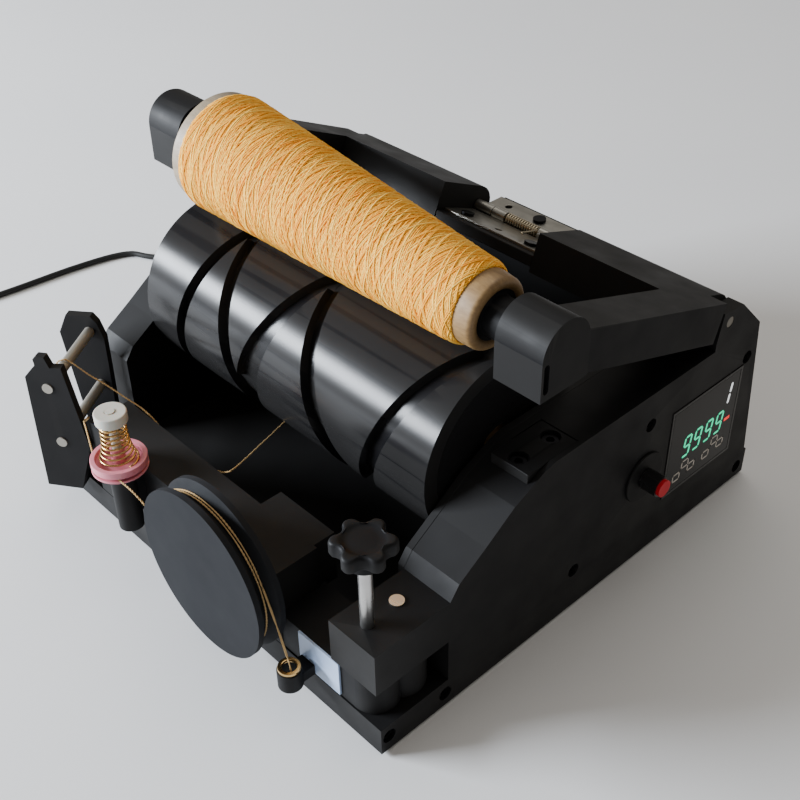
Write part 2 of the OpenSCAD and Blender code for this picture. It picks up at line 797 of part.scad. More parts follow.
module control_board() {
    color([0.10, 0.35, 0.16]) from_front() {
        slab(shell_x + over, shell_x + over + board_t, board_y1, board_y2, base_top + board_up,
            slab_top + board_up / 2);
        slab(shell_x + over + board_t, shell_x + over + board_t + chip_t, board_y1 + chip_y,
            board_y1 + chip_y + chip_len, base_top + chip_up, base_top + chip_up + chip_h);
        for (z = [base_top + board_up + 2 * board_pin_r, slab_top])
            rod_x(board_pin_r, shell_x, shell_x + over, board_y1 + 2 * board_pin_r, z);
    }
}

module pivot_pins() {
    color([0.75, 0.75, 0.76]) from_front() {
        rod_x(pin_r, side_x - ear_t - pin_in, side_x - 2 * window_gap, pivot_at, pivot_z);
        rod_x(pin_r, -side_x + 2 * window_gap, -side_x + ear_t + pin_in, pivot_at, pivot_z);
    }
}

module beam_dowel() {
    color([0.78, 0.78, 0.78]) from_front()
        rod_z(dowel_r, beam_z0 + over, slab_top + rod_proud, dowel_x, dowel_y);
}

// Mains cord
module cord_gland() {
    rim_y = pivot_at + panel_out;
    color([0.06, 0.06, 0.06]) from_front() {
        rod_y(gland_r, pivot_at + panel_in, rim_y + over, gland_x, gland_z);
        rod_y(gland_rim_r, rim_y + slip_fit, rim_y + gland_rim, gland_x, gland_z);
        translate([gland_x, rim_y + over, gland_z]) rotate([-90, 0, 0])
            cylinder(r1 = gland_cone_r, r2 = cord_d / 2 + gland_lip,
                h = cord_way[0][1] - front_y - rim_y - over, $fn = fine);
    }
}

cord_points = smooth_way(cord_way, 4);

module power_cord() {
    color([0.05, 0.05, 0.05]) way_tube(cord_points, cord_d / 2, 8, [0.3, 0.2, 1]);
}

// Two layers of loops: the lower one spirals in, the upper one out again
coil_turns = 2 * coil_in + coil_climb;
function coil_radius(t) = coil_r - coil_step * (t < coil_in ? t
    : t > coil_in + coil_climb ? coil_turns - t : coil_in);
function coil_height(t) = cord_z + coil_step * max(0, min(1, (t - coil_in) / coil_climb));
coil_points = end_out([for (i = [0 : coil_rings * coil_turns])
    let (t = i / coil_rings, a = -90 - 360 * t)
    [coil_x + coil_radius(t) * cos(a), coil_y + coil_radius(t) * sin(a), coil_height(t)]], coil_lead);
echo("cord_coil least gap", self_gap(coil_points, coil_rings, cord_d / 2));

module cord_coil() {
    color([0.05, 0.05, 0.05])
        way_tube(coil_points, cord_d / 2, 6, [0, 0, 1]);
}

module cord_plug() {
    color([0.05, 0.05, 0.05]) translate(coil_points[len(coil_points) - 1]) {
        rod_x(plug_h / 3, -relief_len, 0, 0, 0);
        slab(-relief_len - plug_len, -relief_len, -plug_w / 2, plug_w / 2, -plug_h / 2, plug_h / 2);
        for (s = [-1, 1])
            rod_x(prong_r, -relief_len - plug_len - prong_len, -relief_len - plug_len, s * prong_gap / 2, 0);
    }
}

// Drum with crossing thread grooves, two and a half turns each way; the two hands cross at the listed shares
// of the drum's length and turns, and each has its own share of the groove width there
groove_at = [0.046, 0.225, 0.368, 0.528, 0.745, 0.967];
groove_turn = [-90, 93, 321, 450, 655, 810];
groove_fore = [1, 0.95, 2.1, 1.1, 1.25, 1.25];
groove_back = [1, 0.9, 1.2, 0.85, 2, 1.25];
groove_floor = 0.8;
groove_out = 2;
groove_steps = 14;
function groove_node(hand, i) = [drum_x1 + groove_at[i] * (drum_x2 - drum_x1),
    groove_turn[i] - (hand < 0 ? 360 * (i - 1) : 0), groove_w * (hand < 0 ? groove_back[i] : groove_fore[i])];
function groove_line(hand) = let (n = [for (i = [0 : len(groove_at) - 1]) groove_node(hand, i)])
    smooth_way(n, groove_steps);

module groove_cutter(hand) {
    line = groove_line(hand);
    n = len(line);
    low = drum_r - groove_deep;
    high = drum_r + groove_out;
    flare = 1 + (1 - groove_floor) * groove_out / groove_deep;
    corners = [for (g = line)
        let (x = g[0], w1 = g[2] * groove_floor / 2, w2 = g[2] * flare / 2, u = [0, -cos(g[1]), sin(g[1])])
        each [[x - w1, 0, 0] + low * u, [x + w1, 0, 0] + low * u,
            [x + w2, 0, 0] + high * u, [x - w2, 0, 0] + high * u]];
    walls = [for (i = [0 : n - 2], k = [0 : 3])
        let (k2 = (k + 1) % 4)
        hand > 0 ? [i * 4 + k, i * 4 + k2, (i + 1) * 4 + k2, (i + 1) * 4 + k]
            : [i * 4 + k, (i + 1) * 4 + k, (i + 1) * 4 + k2, i * 4 + k2]];
    e = (n - 1) * 4;
    caps = hand > 0 ? [[3, 2, 1, 0], [e, e + 1, e + 2, e + 3]] : [[0, 1, 2, 3], [e + 3, e + 2, e + 1, e]];
    polyhedron(points = corners, faces = concat(caps, walls), convexity = 8);
}

module drum_shell() {
    color([0.06, 0.06, 0.07]) from_front() difference() {
        rod_x(drum_r, drum_x1, drum_x2, drum_y, drum_z);
        rod_x(bore_r, drum_x1 - over, drum_x2 + over, drum_y, drum_z);
        translate([0, drum_y, drum_z]) groove_cutter(1);
        translate([0, drum_y, drum_z]) groove_cutter(-1);
    }
}

module drum_end_left() {
    color([0.10, 0.10, 0.11]) from_front() {
        rod_x(bore_r - slip_fit, drum_x1 + end_in, drum_x1 + end_in + end_t, drum_y, drum_z);
        rod_x(axle_r, plate_in - axle_len + 2 * over, drum_x1 + over, drum_y, drum_z);
    }
}

module drum_end_right() {
    color([0.10, 0.10, 0.11]) from_front() difference() {
        rod_x(bore_r - slip_fit, drum_x2 - end_in - end_t, drum_x2 - end_in, drum_y, drum_z);
        rod_x(end_bush_r + slip_fit, drum_x2 - end_t - 2 * over, drum_x2 + over, drum_y, drum_z);
    }
}

module drum_bush() {
    color([0.65, 0.52, 0.28]) from_front() difference() {
        rod_x(end_bush_r, drum_x2 - end_in - end_t, drum_x2 - end_in, drum_y, drum_z);
        rod_x(tube_r + run_fit, drum_x2 - end_t - 2 * over, drum_x2 + over, drum_y, drum_z);
    }
}

module drum_hub() {
    color([0.10, 0.10, 0.11]) from_front() {
        rod_x(bore_r - slip_fit, motor_x1 - hub_gap - hub_len, motor_x1 - hub_gap, drum_y, drum_z);
        rod_x(shaft_r, motor_x1 - hub_gap - over, motor_x1 + shaft_in, drum_y, drum_z);
    }
}

// Swing arms from the pivot up to the spindle
function axis_z(x) = cone_z - (x - cone_x) * tan(cone_tilt);
function arm_slope(x) = atan((axis_z(x) - pivot_z) / (pivot_at - drum_y));

module on_cone_axis() {
    translate([cone_x, drum_y, cone_z]) rotate([0, cone_tilt, 0]) children();
}

// One side of the swing arm; side is 1 for right and -1 for left
module arm(side, bar_x) {
    mid_z = axis_z(side * block_mid);
    slope = arm_slope(side * block_mid);
    reach = (pivot_at - drum_y) / cos(slope);
    x_arm = side * (side_x - round_step);
    x_in = side * arm_in;
    x_ear = side * (side_x - ear_t - free_gap);
    x_block = side * block_in;
    x_out = side * block_out;
    x_pin = x_ear - side * (pin_in + 2 * over);
    x_bush1 = side * (min(block_in, arm_in) - 3 * over) - cone_x;
    x_bush2 = side * (block_in + bush_len) - cone_x;
    x_slot1 = side * (block_out - slot_deep);
    x_slot2 = side * (block_out + over);
    slot_y = drum_y - block_r + slot_in;
    slot_z1 = mid_z - block_down + slot_up + slot_w / 2;
    slot_z2 = mid_z - block_down + slot_up + slot_h - slot_w / 2;
    difference() {
        union() {
            at_pivot(slope) {
                rod_x(arm_h - round_step, min(bar_x, x_ear), max(bar_x, x_ear), 0, 0);
                slab(min(bar_x, x_ear), max(bar_x, x_ear), -bar_deep, 0, -arm_h, arm_h);
                slab(min(x_in, x_arm), max(x_in, x_arm), -reach, -ear_clear, -arm_h, arm_h);
            }
            rod_x(block_r - round_step, min(x_block, x_out), max(x_block, x_out), drum_y, mid_z + block_up);
            slab(min(x_block, x_out), max(x_block, x_out), drum_y - block_r, drum_y + block_r,
                mid_z - block_down, mid_z + block_up);
        }
        rod_x(pin_r + run_fit, min(x_pin, x_ear + side), max(x_pin, x_ear + side), pivot_at, pivot_z);
        on_cone_axis()
            rod_x(bush_out + slip_fit, min(x_bush1, x_bush2), max(x_bush1, x_bush2), 0, 0);
        slab(min(x_slot1, x_slot2), max(x_slot1, x_slot2), slot_y - slot_w / 2, slot_y + slot_w / 2, slot_z1,
            slot_z2);
        for (z = [slot_z1, slot_z2])
            rod_x(slot_w / 2 - round_step, min(x_slot1, x_slot2), max(x_slot1, x_slot2), slot_y, z);
    }
}

module arm_right() {
    color([0.08, 0.08, 0.09]) from_front() arm(1, recess_x2);
}

module arm_left() {
    color([0.08, 0.08, 0.09]) from_front() arm(-1, recess_x1);
}

module arm_bridge() {
    color([0.08, 0.08, 0.09]) from_front() at_pivot(arm_slope(leaf_mid)) difference() {
        slab(recess_x1 + slip_fit, recess_x2 - slip_fit, -bar_deep, -bridge_rear, -bridge_low, bridge_top);
        for (s = [-1, 1])
            rod_z(leaf_hole_r + slip_fit, -bridge_low - over, bridge_top + over, leaf_mid + s * leaf_step,
                leaf_edge - leaf_front);
    }
}

module spindle_bushes() {
    near = block_in + over;
    far = block_in + bush_len - over;
    color([0.65, 0.52, 0.28]) from_front() on_cone_axis()
        for (side = [-1, 1])
            difference() {
                rod_x(bush_out, min(side * near, side * far) - cone_x,
                    max(side * near, side * far) - cone_x, 0, 0);
                rod_x(spindle_r + run_fit, -body_w, body_w, 0, 0);
            }
}

// Cone, spindle and winding turn together
function cone_r(x) = cone_rm - x * tan(cone_tilt);

module cone_ring(x1, x2, add) {
    translate([x1, 0, 0]) rotate([0, 90, 0])
        cylinder(r1 = cone_r(x1) + add, r2 = cone_r(x2) + add, h = x2 - x1, $fn = fine);
}

module spindle() {
    color([0.72, 0.72, 0.74]) from_front() on_cone_axis()
        rod_x(spindle_r, -block_in - spindle_in - cone_x, block_in + spindle_in - cone_x, 0, 0);
}

module cone_plugs() {
    color([0.05, 0.05, 0.05]) from_front() on_cone_axis()
        difference() {
            union() {
                cone_ring(over - cone_len / 2, plug_deep1 - cone_len / 2, -tube_wall - slip_fit);
                cone_ring(cone_len / 2 - plug_deep2, cone_len / 2 - over, -tube_wall - slip_fit);
                rod_x(plug_r2, cone_len / 2 - 2 * over, plug_reach - cone_x, 0, 0);
                rod_x(plug_r1, -plug_reach - cone_x, 2 * over - cone_len / 2, 0, 0);
            }
            rod_x(spindle_r + slip_fit, -body_w, body_w, 0, 0);
        }
}

module cone_tube() {
    color([0.62, 0.58, 0.52]) from_front() on_cone_axis()
        difference() {
            cone_ring(-cone_len / 2, cone_len / 2 - nose_len, 0);
            cone_ring(-cone_len / 2 - over, cone_len / 2 + over, -tube_wall);
        }
}

module nose_ring() {
    color([0.90, 0.85, 0.70]) from_front() on_cone_axis()
        difference() {
            cone_ring(cone_len / 2 - nose_len + slip_fit, cone_len / 2, 2 * window_gap);
            cone_ring(-cone_len / 2 - over, cone_len / 2 + over, -tube_wall);
        }
}

module yarn_core() {
    color([0.90, 0.70, 0.36]) from_front() on_cone_axis()
        difference() {
            cone_ring(yarn_x1, yarn_x2, core_t);
            cone_ring(-cone_len / 2, cone_len / 2, slip_fit);
        }
}

strand_rings = 24;
strand_n = strand_loops * strand_rings;
strand_lead = 3 * strand_r;
strand_points = end_out([for (i = [0 : strand_n])
    let (x = yarn_x1 + strand_lead + (yarn_x2 - yarn_x1 - 2 * strand_lead) * i / strand_n,
        r = cone_r(x) + yarn_t - strand_r, a = i * 360 / strand_rings)
    [x, r * cos(a), r * sin(a)]], 2 * strand_r);
echo("yarn_winding least gap", self_gap(strand_points, strand_rings, strand_r));

module yarn_winding() {
    color([0.91, 0.72, 0.38]) from_front() on_cone_axis() way_tube(strand_points, strand_r, 6, [1, 0, 0]);
}

// Feed beam swings about the dowel
module feed_beam() {
    color([0.09, 0.09, 0.10]) from_front() difference() {
        union() {
            slab(beam_x1, beam_x2, 0, beam_d, beam_z0, beam_top);
            slab(sensor_x1, sensor_x2, beam_d - over, beam_d + sensor_d, sensor_z0, beam_top);
            slab(beam_x2 - over, dowel_x, tongue_y, tongue_d, beam_z0, tongue_top);
            rod_z(boss_r, beam_z0, tongue_top, dowel_x, dowel_y);
            rod_z(nose_r, beam_z0, tongue_top, dowel_x, nose_y);
            slab(foot_x1, beam_x1 + over, foot_y1, foot_y2, bracket_floor, bracket_floor + foot_h);
            slab(post_x - post_rib, post_x + post_rib, post_y, over, post_boss_z + 2 * post_rib,
                beam_top - post_rib);
            rod_z(post_boss_r, post_boss_z, beam_top, post_x, post_y);
        }
        rod_z(dowel_r + run_fit, beam_z0 - over, tongue_top + over, dowel_x, dowel_y);
        rod_y(wheel_axle_r + run_fit, -over, beam_d + sensor_d - axle_wall, wheel_x, wheel_z);
        rod_z(post_r + slip_fit, beam_top - post_sink, beam_top + over, post_x, post_y);
    }
}

module beam_strip() {
    color([0.55, 0.68, 0.80]) from_front()
        slab(strip_x1, strip_x2, tongue_y - strip_t - slip_fit, tongue_y - slip_fit, beam_z0 + over,
            tongue_top);
}

module on_bracket() {
    translate([corner_x, corner_y, 0]) rotate([0, 0, bracket_turn]) children();
}

module bracket_face(points, y1, y2) {
    translate([0, y2, 0]) rotate([90, 0, 0]) linear_extrude(y2 - y1) polygon(points);
}

module guide_bracket() {
    color([0.09, 0.09, 0.10]) from_front() on_bracket() difference() {
        union() {
            bracket_face(front_plate, 0, bracket_t);
            bracket_face(back_plate, bracket_len - bracket_t, bracket_len);
            slab(0, bracket_foot_w, over, bracket_len - over, beam_z0, bracket_floor - slip_fit);
        }
        for (p = [rod_upper, rod_lower])
            rod_y(rod_r + slip_fit, -over, bracket_len + over, p[0], p[1]);
    }
}

module guide_rods() {
    color([0.75, 0.75, 0.76]) from_front() on_bracket()
        for (p = [rod_upper, rod_lower])
            rod_y(rod_r, -rod_proud, bracket_len + rod_proud, p[0], p[1]);
}

module tension_post() {
    color([0.92, 0.92, 0.90]) from_front()
        rod_z(post_r, beam_top - post_sink + over, nut_z + nut_h + post_proud, post_x, post_y);
}

module tension_discs() {
    color([0.90, 0.55, 0.60]) from_front() difference() {
        union() {
            rod_z(post_boss_r, beam_top + slip_fit, disc_z + disc_t / 2, post_x, post_y);
            rod_z(disc_r, disc_z, disc_z + disc_t, post_x, post_y);
            rod_z(disc_r / 2, disc_z + disc_t / 2, dish_z + dish_floor / 2, post_x, post_y);
            difference() {
                rod_z(disc_r, dish_z, dish_z + dish_t, post_x, post_y);
                rod_z(disc_r - dish_rim, dish_z + dish_floor, dish_z + dish_t + over, post_x, post_y);
            }
            rod_z(dish_stem_r, dish_z + dish_floor / 2, dish_z + dish_stem, post_x, post_y);
        }
        rod_z(post_r + slip_fit, beam_top - over, nut_z, post_x, post_y);
    }
}

spring_z1 = dish_z + dish_floor + spring_wire + spring_gap;
spring_z2 = nut_z - spring_wire - over;
spring_n = spring_curls * wire_rings;
function spring_out(t) = spring_r + (spring_low_r - spring_r) * pow(1 - t, spring_flare);
spring_points = end_out([for (i = [0 : spring_n])
    let (r = spring_out(i / spring_n), a = 360 * i / wire_rings)
    [r * cos(a), r * sin(a), spring_z1 + (spring_z2 - spring_z1) * i / spring_n]], 2 * spring_wire);
echo("tension_spring least gap", self_gap(spring_points, wire_rings, spring_wire));

module tension_spring() {
    color([0.80, 0.64, 0.30]) from_front() translate([post_x, post_y, 0])
        way_tube(spring_points, spring_wire, 6, [0, 0, 1]);
}

module tension_nut() {
    color([0.93, 0.93, 0.91]) from_front() difference() {
        rod_z(nut_r, nut_z, nut_z + nut_h, post_x, post_y);
        rod_z(post_r + run_fit, nut_z - over, nut_z + nut_h + over, post_x, post_y);
    }
}

module eyelet_arm() {
    color([0.09, 0.09, 0.10]) from_front() difference() {
        union() {
            rod_z(eye_r, eye_z0, eye_z - eye_ring_t, eye_x, eye_y);
            slab(eye_x - eye_arm_w, eye_x + eye_arm_w, eye_y, tongue_y - strip_t - 2 * slip_fit,
                beam_z0 + over, eye_z - eye_arm_low);
        }
        rod_z(eye_bore + eye_wall, eye_z0 - over, eye_z, eye_x, eye_y);
    }
}

module eyelet_ring() {
    color([0.88, 0.80, 0.55]) from_front() difference() {
        rod_z(eye_r - eye_ring_in, eye_z - eye_ring_t + slip_fit, eye_z, eye_x, eye_y);
        rod_z(eye_bore, eye_z - 2 * eye_ring_t, eye_z + over, eye_x, eye_y);
    }
}

module yarn_run() {
    color([0.91, 0.72, 0.38]) from_front()
        way_tube(smooth_way(yarn_way, 3), yarn_d / 2, 6, [-0.4, 0.7, 0.6]);
}

module counter_wheel() {
    low = wheel_r - wheel_groove;
    color([0.12, 0.12, 0.13]) from_front() difference() {
        rod_y(wheel_r, wheel_y1, wheel_y2, wheel_x, wheel_z);
        translate([wheel_x, (wheel_y1 + wheel_y2) / 2, wheel_z]) rotate([-90, 0, 0])
            rotate_extrude($fn = fine)
                polygon([[low, -wheel_floor], [wheel_r + over, -wheel_lip], [wheel_r + over, wheel_lip],
                    [low, wheel_floor]]);
        rod_y(wheel_axle_r + slip_fit, wheel_y1 + axle_wall, wheel_y2 + over, wheel_x, wheel_z);
    }
}

module wheel_axle() {
    color([0.75, 0.75, 0.76]) from_front()
        rod_y(wheel_axle_r, wheel_y1 + axle_wall + window_gap, beam_d + sensor_d - axle_wall - over, wheel_x,
            wheel_z);
}

module star_knob() {
    top = star_z0 + star_h;
    color([0.05, 0.05, 0.06]) from_front() difference() {
        union() {
            rod_z(star_r * star_core, star_z0, top, stud_x, stud_y);
            rod_z(star_r * star_web, star_z0 + star_hub, top, stud_x, stud_y);
            for (k = [0 : star_lobes - 1])
                let (a = 360 * k / star_lobes + star_turn)
                rod_z(star_r * star_lobe, star_z0 + star_hub, top, stud_x + star_r * (1 - star_lobe) * cos(a),
                    stud_y + star_r * (1 - star_lobe) * sin(a));
        }
        rod_z(stud_r + slip_fit, star_z0 - over, top - star_roof, stud_x, stud_y);
    }
}

module lock_stud() {
    color([0.76, 0.76, 0.77]) from_front()
        rod_z(stud_r, tongue_top + stud_low, star_z0 + star_h - star_roof - window_gap, stud_x, stud_y);
}

module speed_knob() {
    color([0.05, 0.05, 0.06]) from_front() {
        difference() {
            rod_x(speed_r, knob_x, knob_x + knob_len, pot_y, pot_z);
            rod_x(shaft_r / 2 + slip_fit, knob_x - over, knob_x + knob_hole, pot_y, pot_z);
        }
        rod_x(shaft_r / 2, side_x - wall - knob_hole + over, knob_x + knob_hole + over, pot_y, pot_z);
    }
}

module knob_cap() {
    color([0.80, 0.06, 0.08]) from_front()
        rod_x(speed_r - cap_in, knob_x + knob_len + slip_fit, knob_x + knob_len + cap_len, pot_y, pot_z);
}

base_plate();
rubber_feet();
right_housing();
right_inner_plate();
left_side_plate();
rear_panel();
hinge_back_leaf();
hinge_pin();
hinge_spring();
body_screws();
clamp_cap();
clamp_screws();
torque_tube();
drive_motor();
axle_bush();
meter_body();
meter_window();
speed_pot();
pot_washer();
control_board();
pivot_pins();
beam_dowel();
cord_gland();
power_cord();
cord_coil();
cord_plug();
drum_shell();
drum_end_left();
drum_end_right();
drum_bush();
drum_hub();
arm_right();
arm_left();
arm_bridge();
hinge_front_leaf();
hinge_screws();
spindle_bushes();
spindle();
cone_plugs();
cone_tube();
nose_ring();
yarn_core();
yarn_winding();
feed_beam();
beam_strip();
guide_bracket();
guide_rods();
tension_post();
tension_discs();
tension_spring();
eyelet_arm();
eyelet_ring();
yarn_run();
counter_wheel();
wheel_axle();
star_knob();
lock_stud();
speed_knob();
knob_cap();
tension_nut();
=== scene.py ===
"""Looks of the cone winding machine: finishes, yarn, springs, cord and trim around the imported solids."""
import json
import math
import random

import bpy
from mathutils import Matrix, Vector


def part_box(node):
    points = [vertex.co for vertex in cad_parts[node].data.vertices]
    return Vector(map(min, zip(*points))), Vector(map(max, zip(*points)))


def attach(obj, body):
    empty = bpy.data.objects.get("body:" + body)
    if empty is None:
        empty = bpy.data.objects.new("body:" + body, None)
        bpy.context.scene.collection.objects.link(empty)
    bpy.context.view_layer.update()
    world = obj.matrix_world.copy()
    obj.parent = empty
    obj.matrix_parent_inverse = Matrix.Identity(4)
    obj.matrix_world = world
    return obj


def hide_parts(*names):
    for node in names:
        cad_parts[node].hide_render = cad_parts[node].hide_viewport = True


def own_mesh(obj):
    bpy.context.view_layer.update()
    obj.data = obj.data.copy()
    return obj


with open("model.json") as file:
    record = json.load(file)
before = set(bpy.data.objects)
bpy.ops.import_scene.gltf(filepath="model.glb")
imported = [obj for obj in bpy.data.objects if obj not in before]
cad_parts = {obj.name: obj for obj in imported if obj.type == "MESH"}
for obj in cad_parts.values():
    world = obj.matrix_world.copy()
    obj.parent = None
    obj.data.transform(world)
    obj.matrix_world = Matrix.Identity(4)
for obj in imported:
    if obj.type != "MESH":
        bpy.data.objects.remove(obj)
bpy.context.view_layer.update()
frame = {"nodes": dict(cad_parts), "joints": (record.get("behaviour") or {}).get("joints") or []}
nodes = frame["nodes"]
joints = {joint["name"]: joint for joint in frame["joints"]}
scene = bpy.context.scene

MM = 0.001
TURN = 2 * math.pi


# Camera at the photograph's viewing angle

EYE = Vector((0.33561, -0.30505, 0.38775))
YAW = math.radians(47.40)
PITCH = math.radians(37.25)
ROLL = math.radians(1.18)
LENS = 54.45
SENSOR = 36
CLIP_START = 0.01


def make_camera():
    level = math.cos(PITCH)
    forward = Vector((-math.sin(YAW) * level, math.cos(YAW) * level, -math.sin(PITCH)))
    right = Vector((math.cos(YAW), math.sin(YAW), 0))
    down = forward.cross(right)
    axis_x = math.cos(ROLL) * right + math.sin(ROLL) * down
    axis_y = math.sin(ROLL) * right - math.cos(ROLL) * down
    turn = Matrix((axis_x, axis_y, -forward)).transposed()
    data = bpy.data.cameras.new("camera")
    data.lens = LENS
    data.sensor_width = SENSOR
    data.clip_start = CLIP_START
    camera = bpy.data.objects.new("camera", data)
    camera.matrix_world = Matrix.Translation(EYE) @ turn.to_4x4()
    scene.collection.objects.link(camera)
    scene.camera = camera


# Light

LIT_POINT = Vector((0, 0, 0.08))
SKY_COLOUR = (0.88, 0.83, 0.76, 1)
SKY_STRENGTH = 0.36


def make_area(name, place, size, power, colour):
    """Soft rectangular lamp aimed at the middle of the machine."""
    data = bpy.data.lights.new(name, "AREA")
    data.shape = "RECTANGLE"
    data.size, data.size_y = size
    data.energy = power
    data.color = colour
    lamp = bpy.data.objects.new(name, data)
    lamp.location = place
    lamp.rotation_euler = (LIT_POINT - Vector(place)).to_track_quat("-Z", "Y").to_euler()
    scene.collection.objects.link(lamp)


def make_light():
    make_area("window", place=(-1.2, -1.3, 0.60), size=(0.9, 0.36), power=112, colour=(0.86, 0.92, 1.0))
    make_area("overhead", place=(-0.3, 0.6, 1.8), size=(1.6, 1.6), power=10, colour=(1.0, 0.96, 0.90))
    world = bpy.data.worlds.new("studio")
    scene.world = world
    world.use_nodes = True
    background = world.node_tree.nodes["Background"]
    background.inputs["Color"].default_value = SKY_COLOUR
    background.inputs["Strength"].default_value = SKY_STRENGTH


# Node-based finishes; texture places are in metres, so a scale of 1000 is one patch a millimetre

looks = {}


class Look:
    """A material with its nodes at hand, kept in looks under its name."""

    def __init__(self, name):
        self.material = bpy.data.materials.new(name)
        self.material.use_nodes = True
        self.tree = self.material.node_tree
        self.shader = self.tree.nodes["Principled BSDF"]
        self.place = self.add("ShaderNodeTexCoord").outputs["Object"]
        looks[name] = self.material

    def feed(self, target, value):
        """Link another node's output to a socket, or set a constant on it."""
        if isinstance(value, bpy.types.NodeSocket):
            self.tree.links.new(value, target)
        else:
            target.default_value = value

    def add(self, kind, settings=None, **inputs):
        """New node with its settings, and its inputs by name, with _ for a space."""
        node = self.tree.nodes.new(kind)
        for name, value in (settings or {}).items():
            setattr(node, name, value)
        for name, value in inputs.items():
            self.feed(node.inputs[name.replace("_", " ")], value)
        return node

    def set(self, **inputs):
        """Inputs of the shader itself, by name, with _ for a space."""
        for name, value in inputs.items():
            self.feed(self.shader.inputs[name.replace("_", " ")], value)

    def noise(self, scale, detail=3, stretch=(1, 1, 1), rough=0.5):
        mapping = self.add("ShaderNodeMapping", Vector=self.place, Scale=stretch)
        node = self.add("ShaderNodeTexNoise", Vector=mapping.outputs["Vector"], Scale=scale, Detail=detail,
                        Roughness=rough)
        return node.outputs["Fac"]

    def ramp(self, value, stops):
        """Colours by value; each stop is a place from 0 to 1 and a colour."""
        node = self.add("ShaderNodeValToRGB", Fac=value)
        elements = node.color_ramp.elements
        while len(elements) < len(stops):
            elements.new(0.5)
        for element, (at, colour) in zip(elements, stops):
            element.position = at
            element.color = (*colour, 1)
        return node.outputs["Color"]

    def spread(self, value, low, high, start=0.3, end=0.7):
        """Number from low to high as value goes from start to end."""
        node = self.add("ShaderNodeMapRange", Value=value, From_Min=start, From_Max=end, To_Min=low,
                        To_Max=high)
        return node.outputs["Result"]

    def mix(self, factor, first, second, kind="RGBA"):
        node = self.add("ShaderNodeMix", {"data_type": kind}, Factor=factor, A=first, B=second)
        return node.outputs["Result"]

    def vector(self, operation, *values):
        node = self.add("ShaderNodeVectorMath", {"operation": operation})
        for target, value in zip(node.inputs, values):
            self.feed(target, value)
        return node.outputs["Value" if operation == "DOT_PRODUCT" else "Vector"]

    def round_normal(self, centre):
        """Normal of a true cylinder along X where the surface lies near one, else the mesh's own."""
        across = self.vector("MULTIPLY", self.vector("SUBTRACT", self.place, centre), (0.0, 1.0, 1.0))
        to_world = {"vector_type": "NORMAL", "convert_from": "OBJECT", "convert_to": "WORLD"}
        turned = self.add("ShaderNodeVectorTransform", to_world, Vector=self.vector("NORMALIZE", across))
        radial = turned.outputs["Vector"]
        surface = self.add("ShaderNodeNewGeometry")
        near = self.vector("DOT_PRODUCT", radial, surface.outputs["True Normal"])
        share = self.spread(near, low=0.0, high=1.0, start=0.90, end=0.985)
        return self.mix(share, surface.outputs["Normal"], radial, kind="VECTOR")

    def bump(self, height, strength, depth, normal=None):
        node = self.add("ShaderNodeBump", Height=height, Strength=strength, Distance=depth)
        if normal:
            self.feed(node.inputs["Normal"], normal)
        self.set(Normal=node.outputs["Normal"])


def worn(look, colour, edge):
    """Colour that leans towards the edge colour on worn edges."""
    pointed = look.add("ShaderNodeNewGeometry").outputs["Pointiness"]
    share = look.spread(pointed, low=0.0, high=0.35, start=0.51, end=0.57)
    return look.mix(share, colour, (*edge, 1))


EDGE_GREY = (0.035, 0.034, 0.032)


def plastic(name, dark, light, rough, grain=1800, depth=0.02 * MM, edge=EDGE_GREY, centre=None, **shader):
    """Moulded or printed plastic: clouded colour, fine grain and worn edges; centre is a drum's axis."""
    look = Look(name)
    cloud = look.ramp(look.noise(scale=28, detail=4), [(0.32, dark), (0.68, light)])
    smear = look.noise(scale=60, detail=5)
    look.set(Base_Color=worn(look, cloud, edge), Roughness=look.spread(smear, *rough), **shader)
    normal = look.round_normal(centre) if centre else None
    look.bump(look.noise(scale=grain, detail=2), strength=0.35, depth=depth, normal=normal)


def metal(name, dark, light, rough, stretch=(40, 900, 900)):
    """Drawn or turned metal with fine lines along X."""
    look = Look(name)
    lines = look.noise(scale=1, detail=4, stretch=stretch)
    tone = look.ramp(look.noise(scale=120, detail=4), [(0.3, dark), (0.7, light)])
    look.set(Base_Color=tone, Roughness=look.spread(lines, *rough), Metallic=1.0)
    look.bump(lines, strength=0.05, depth=0.004 * MM)


def yarn_look(name, dark, middle, light):
    """Soft spun yarn: tone by strand, fibres and sheen."""
    look = Look(name)
    shade = look.add("ShaderNodeAttribute", {"attribute_name": "shade"}).outputs["Fac"]
    strand = look.ramp(shade, [(0.0, dark), (0.5, middle), (1.0, light)])
    fuzz = look.noise(scale=900, detail=5, rough=0.7)
    fibre = look.ramp(fuzz, [(0.3, dark), (0.55, middle), (0.8, light)])
    matt = look.spread(look.noise(scale=1500, detail=2), low=0.62, high=0.85)
    look.set(Base_Color=look.mix(0.45, strand, fibre), Roughness=matt, Specular_IOR_Level=0.15)
    look.set(Sheen_Weight=0.06, Sheen_Roughness=0.4, Sheen_Tint=(1.0, 0.75, 0.4, 1))
    look.bump(look.noise(scale=2600, detail=3), strength=0.6, depth=0.12 * MM)


def paper_look(name, dark, light):
    """Pressed paper with fibres and scuffs."""
    look = Look(name)
    fibres = look.noise(scale=220, detail=6, stretch=(1, 3, 3), rough=0.65)
    scuffs = look.spread(look.noise(scale=90, detail=4), low=0.42, high=0.65)
    look.set(Base_Color=look.ramp(fibres, [(0.3, dark), (0.7, light)]), Roughness=scuffs)
    look.bump(fibres, strength=0.25, depth=0.06 * MM)


def glow_look(name, colour, strength):
    """Lit display segments with a slightly uneven tone."""
    look = Look(name)
    dim = tuple(0.8 * part for part in colour)
    tone = look.ramp(look.noise(scale=300), [(0.3, dim), (0.7, colour)])
    look.set(Base_Color=tone, Emission_Color=tone, Emission_Strength=strength, Roughness=0.4)


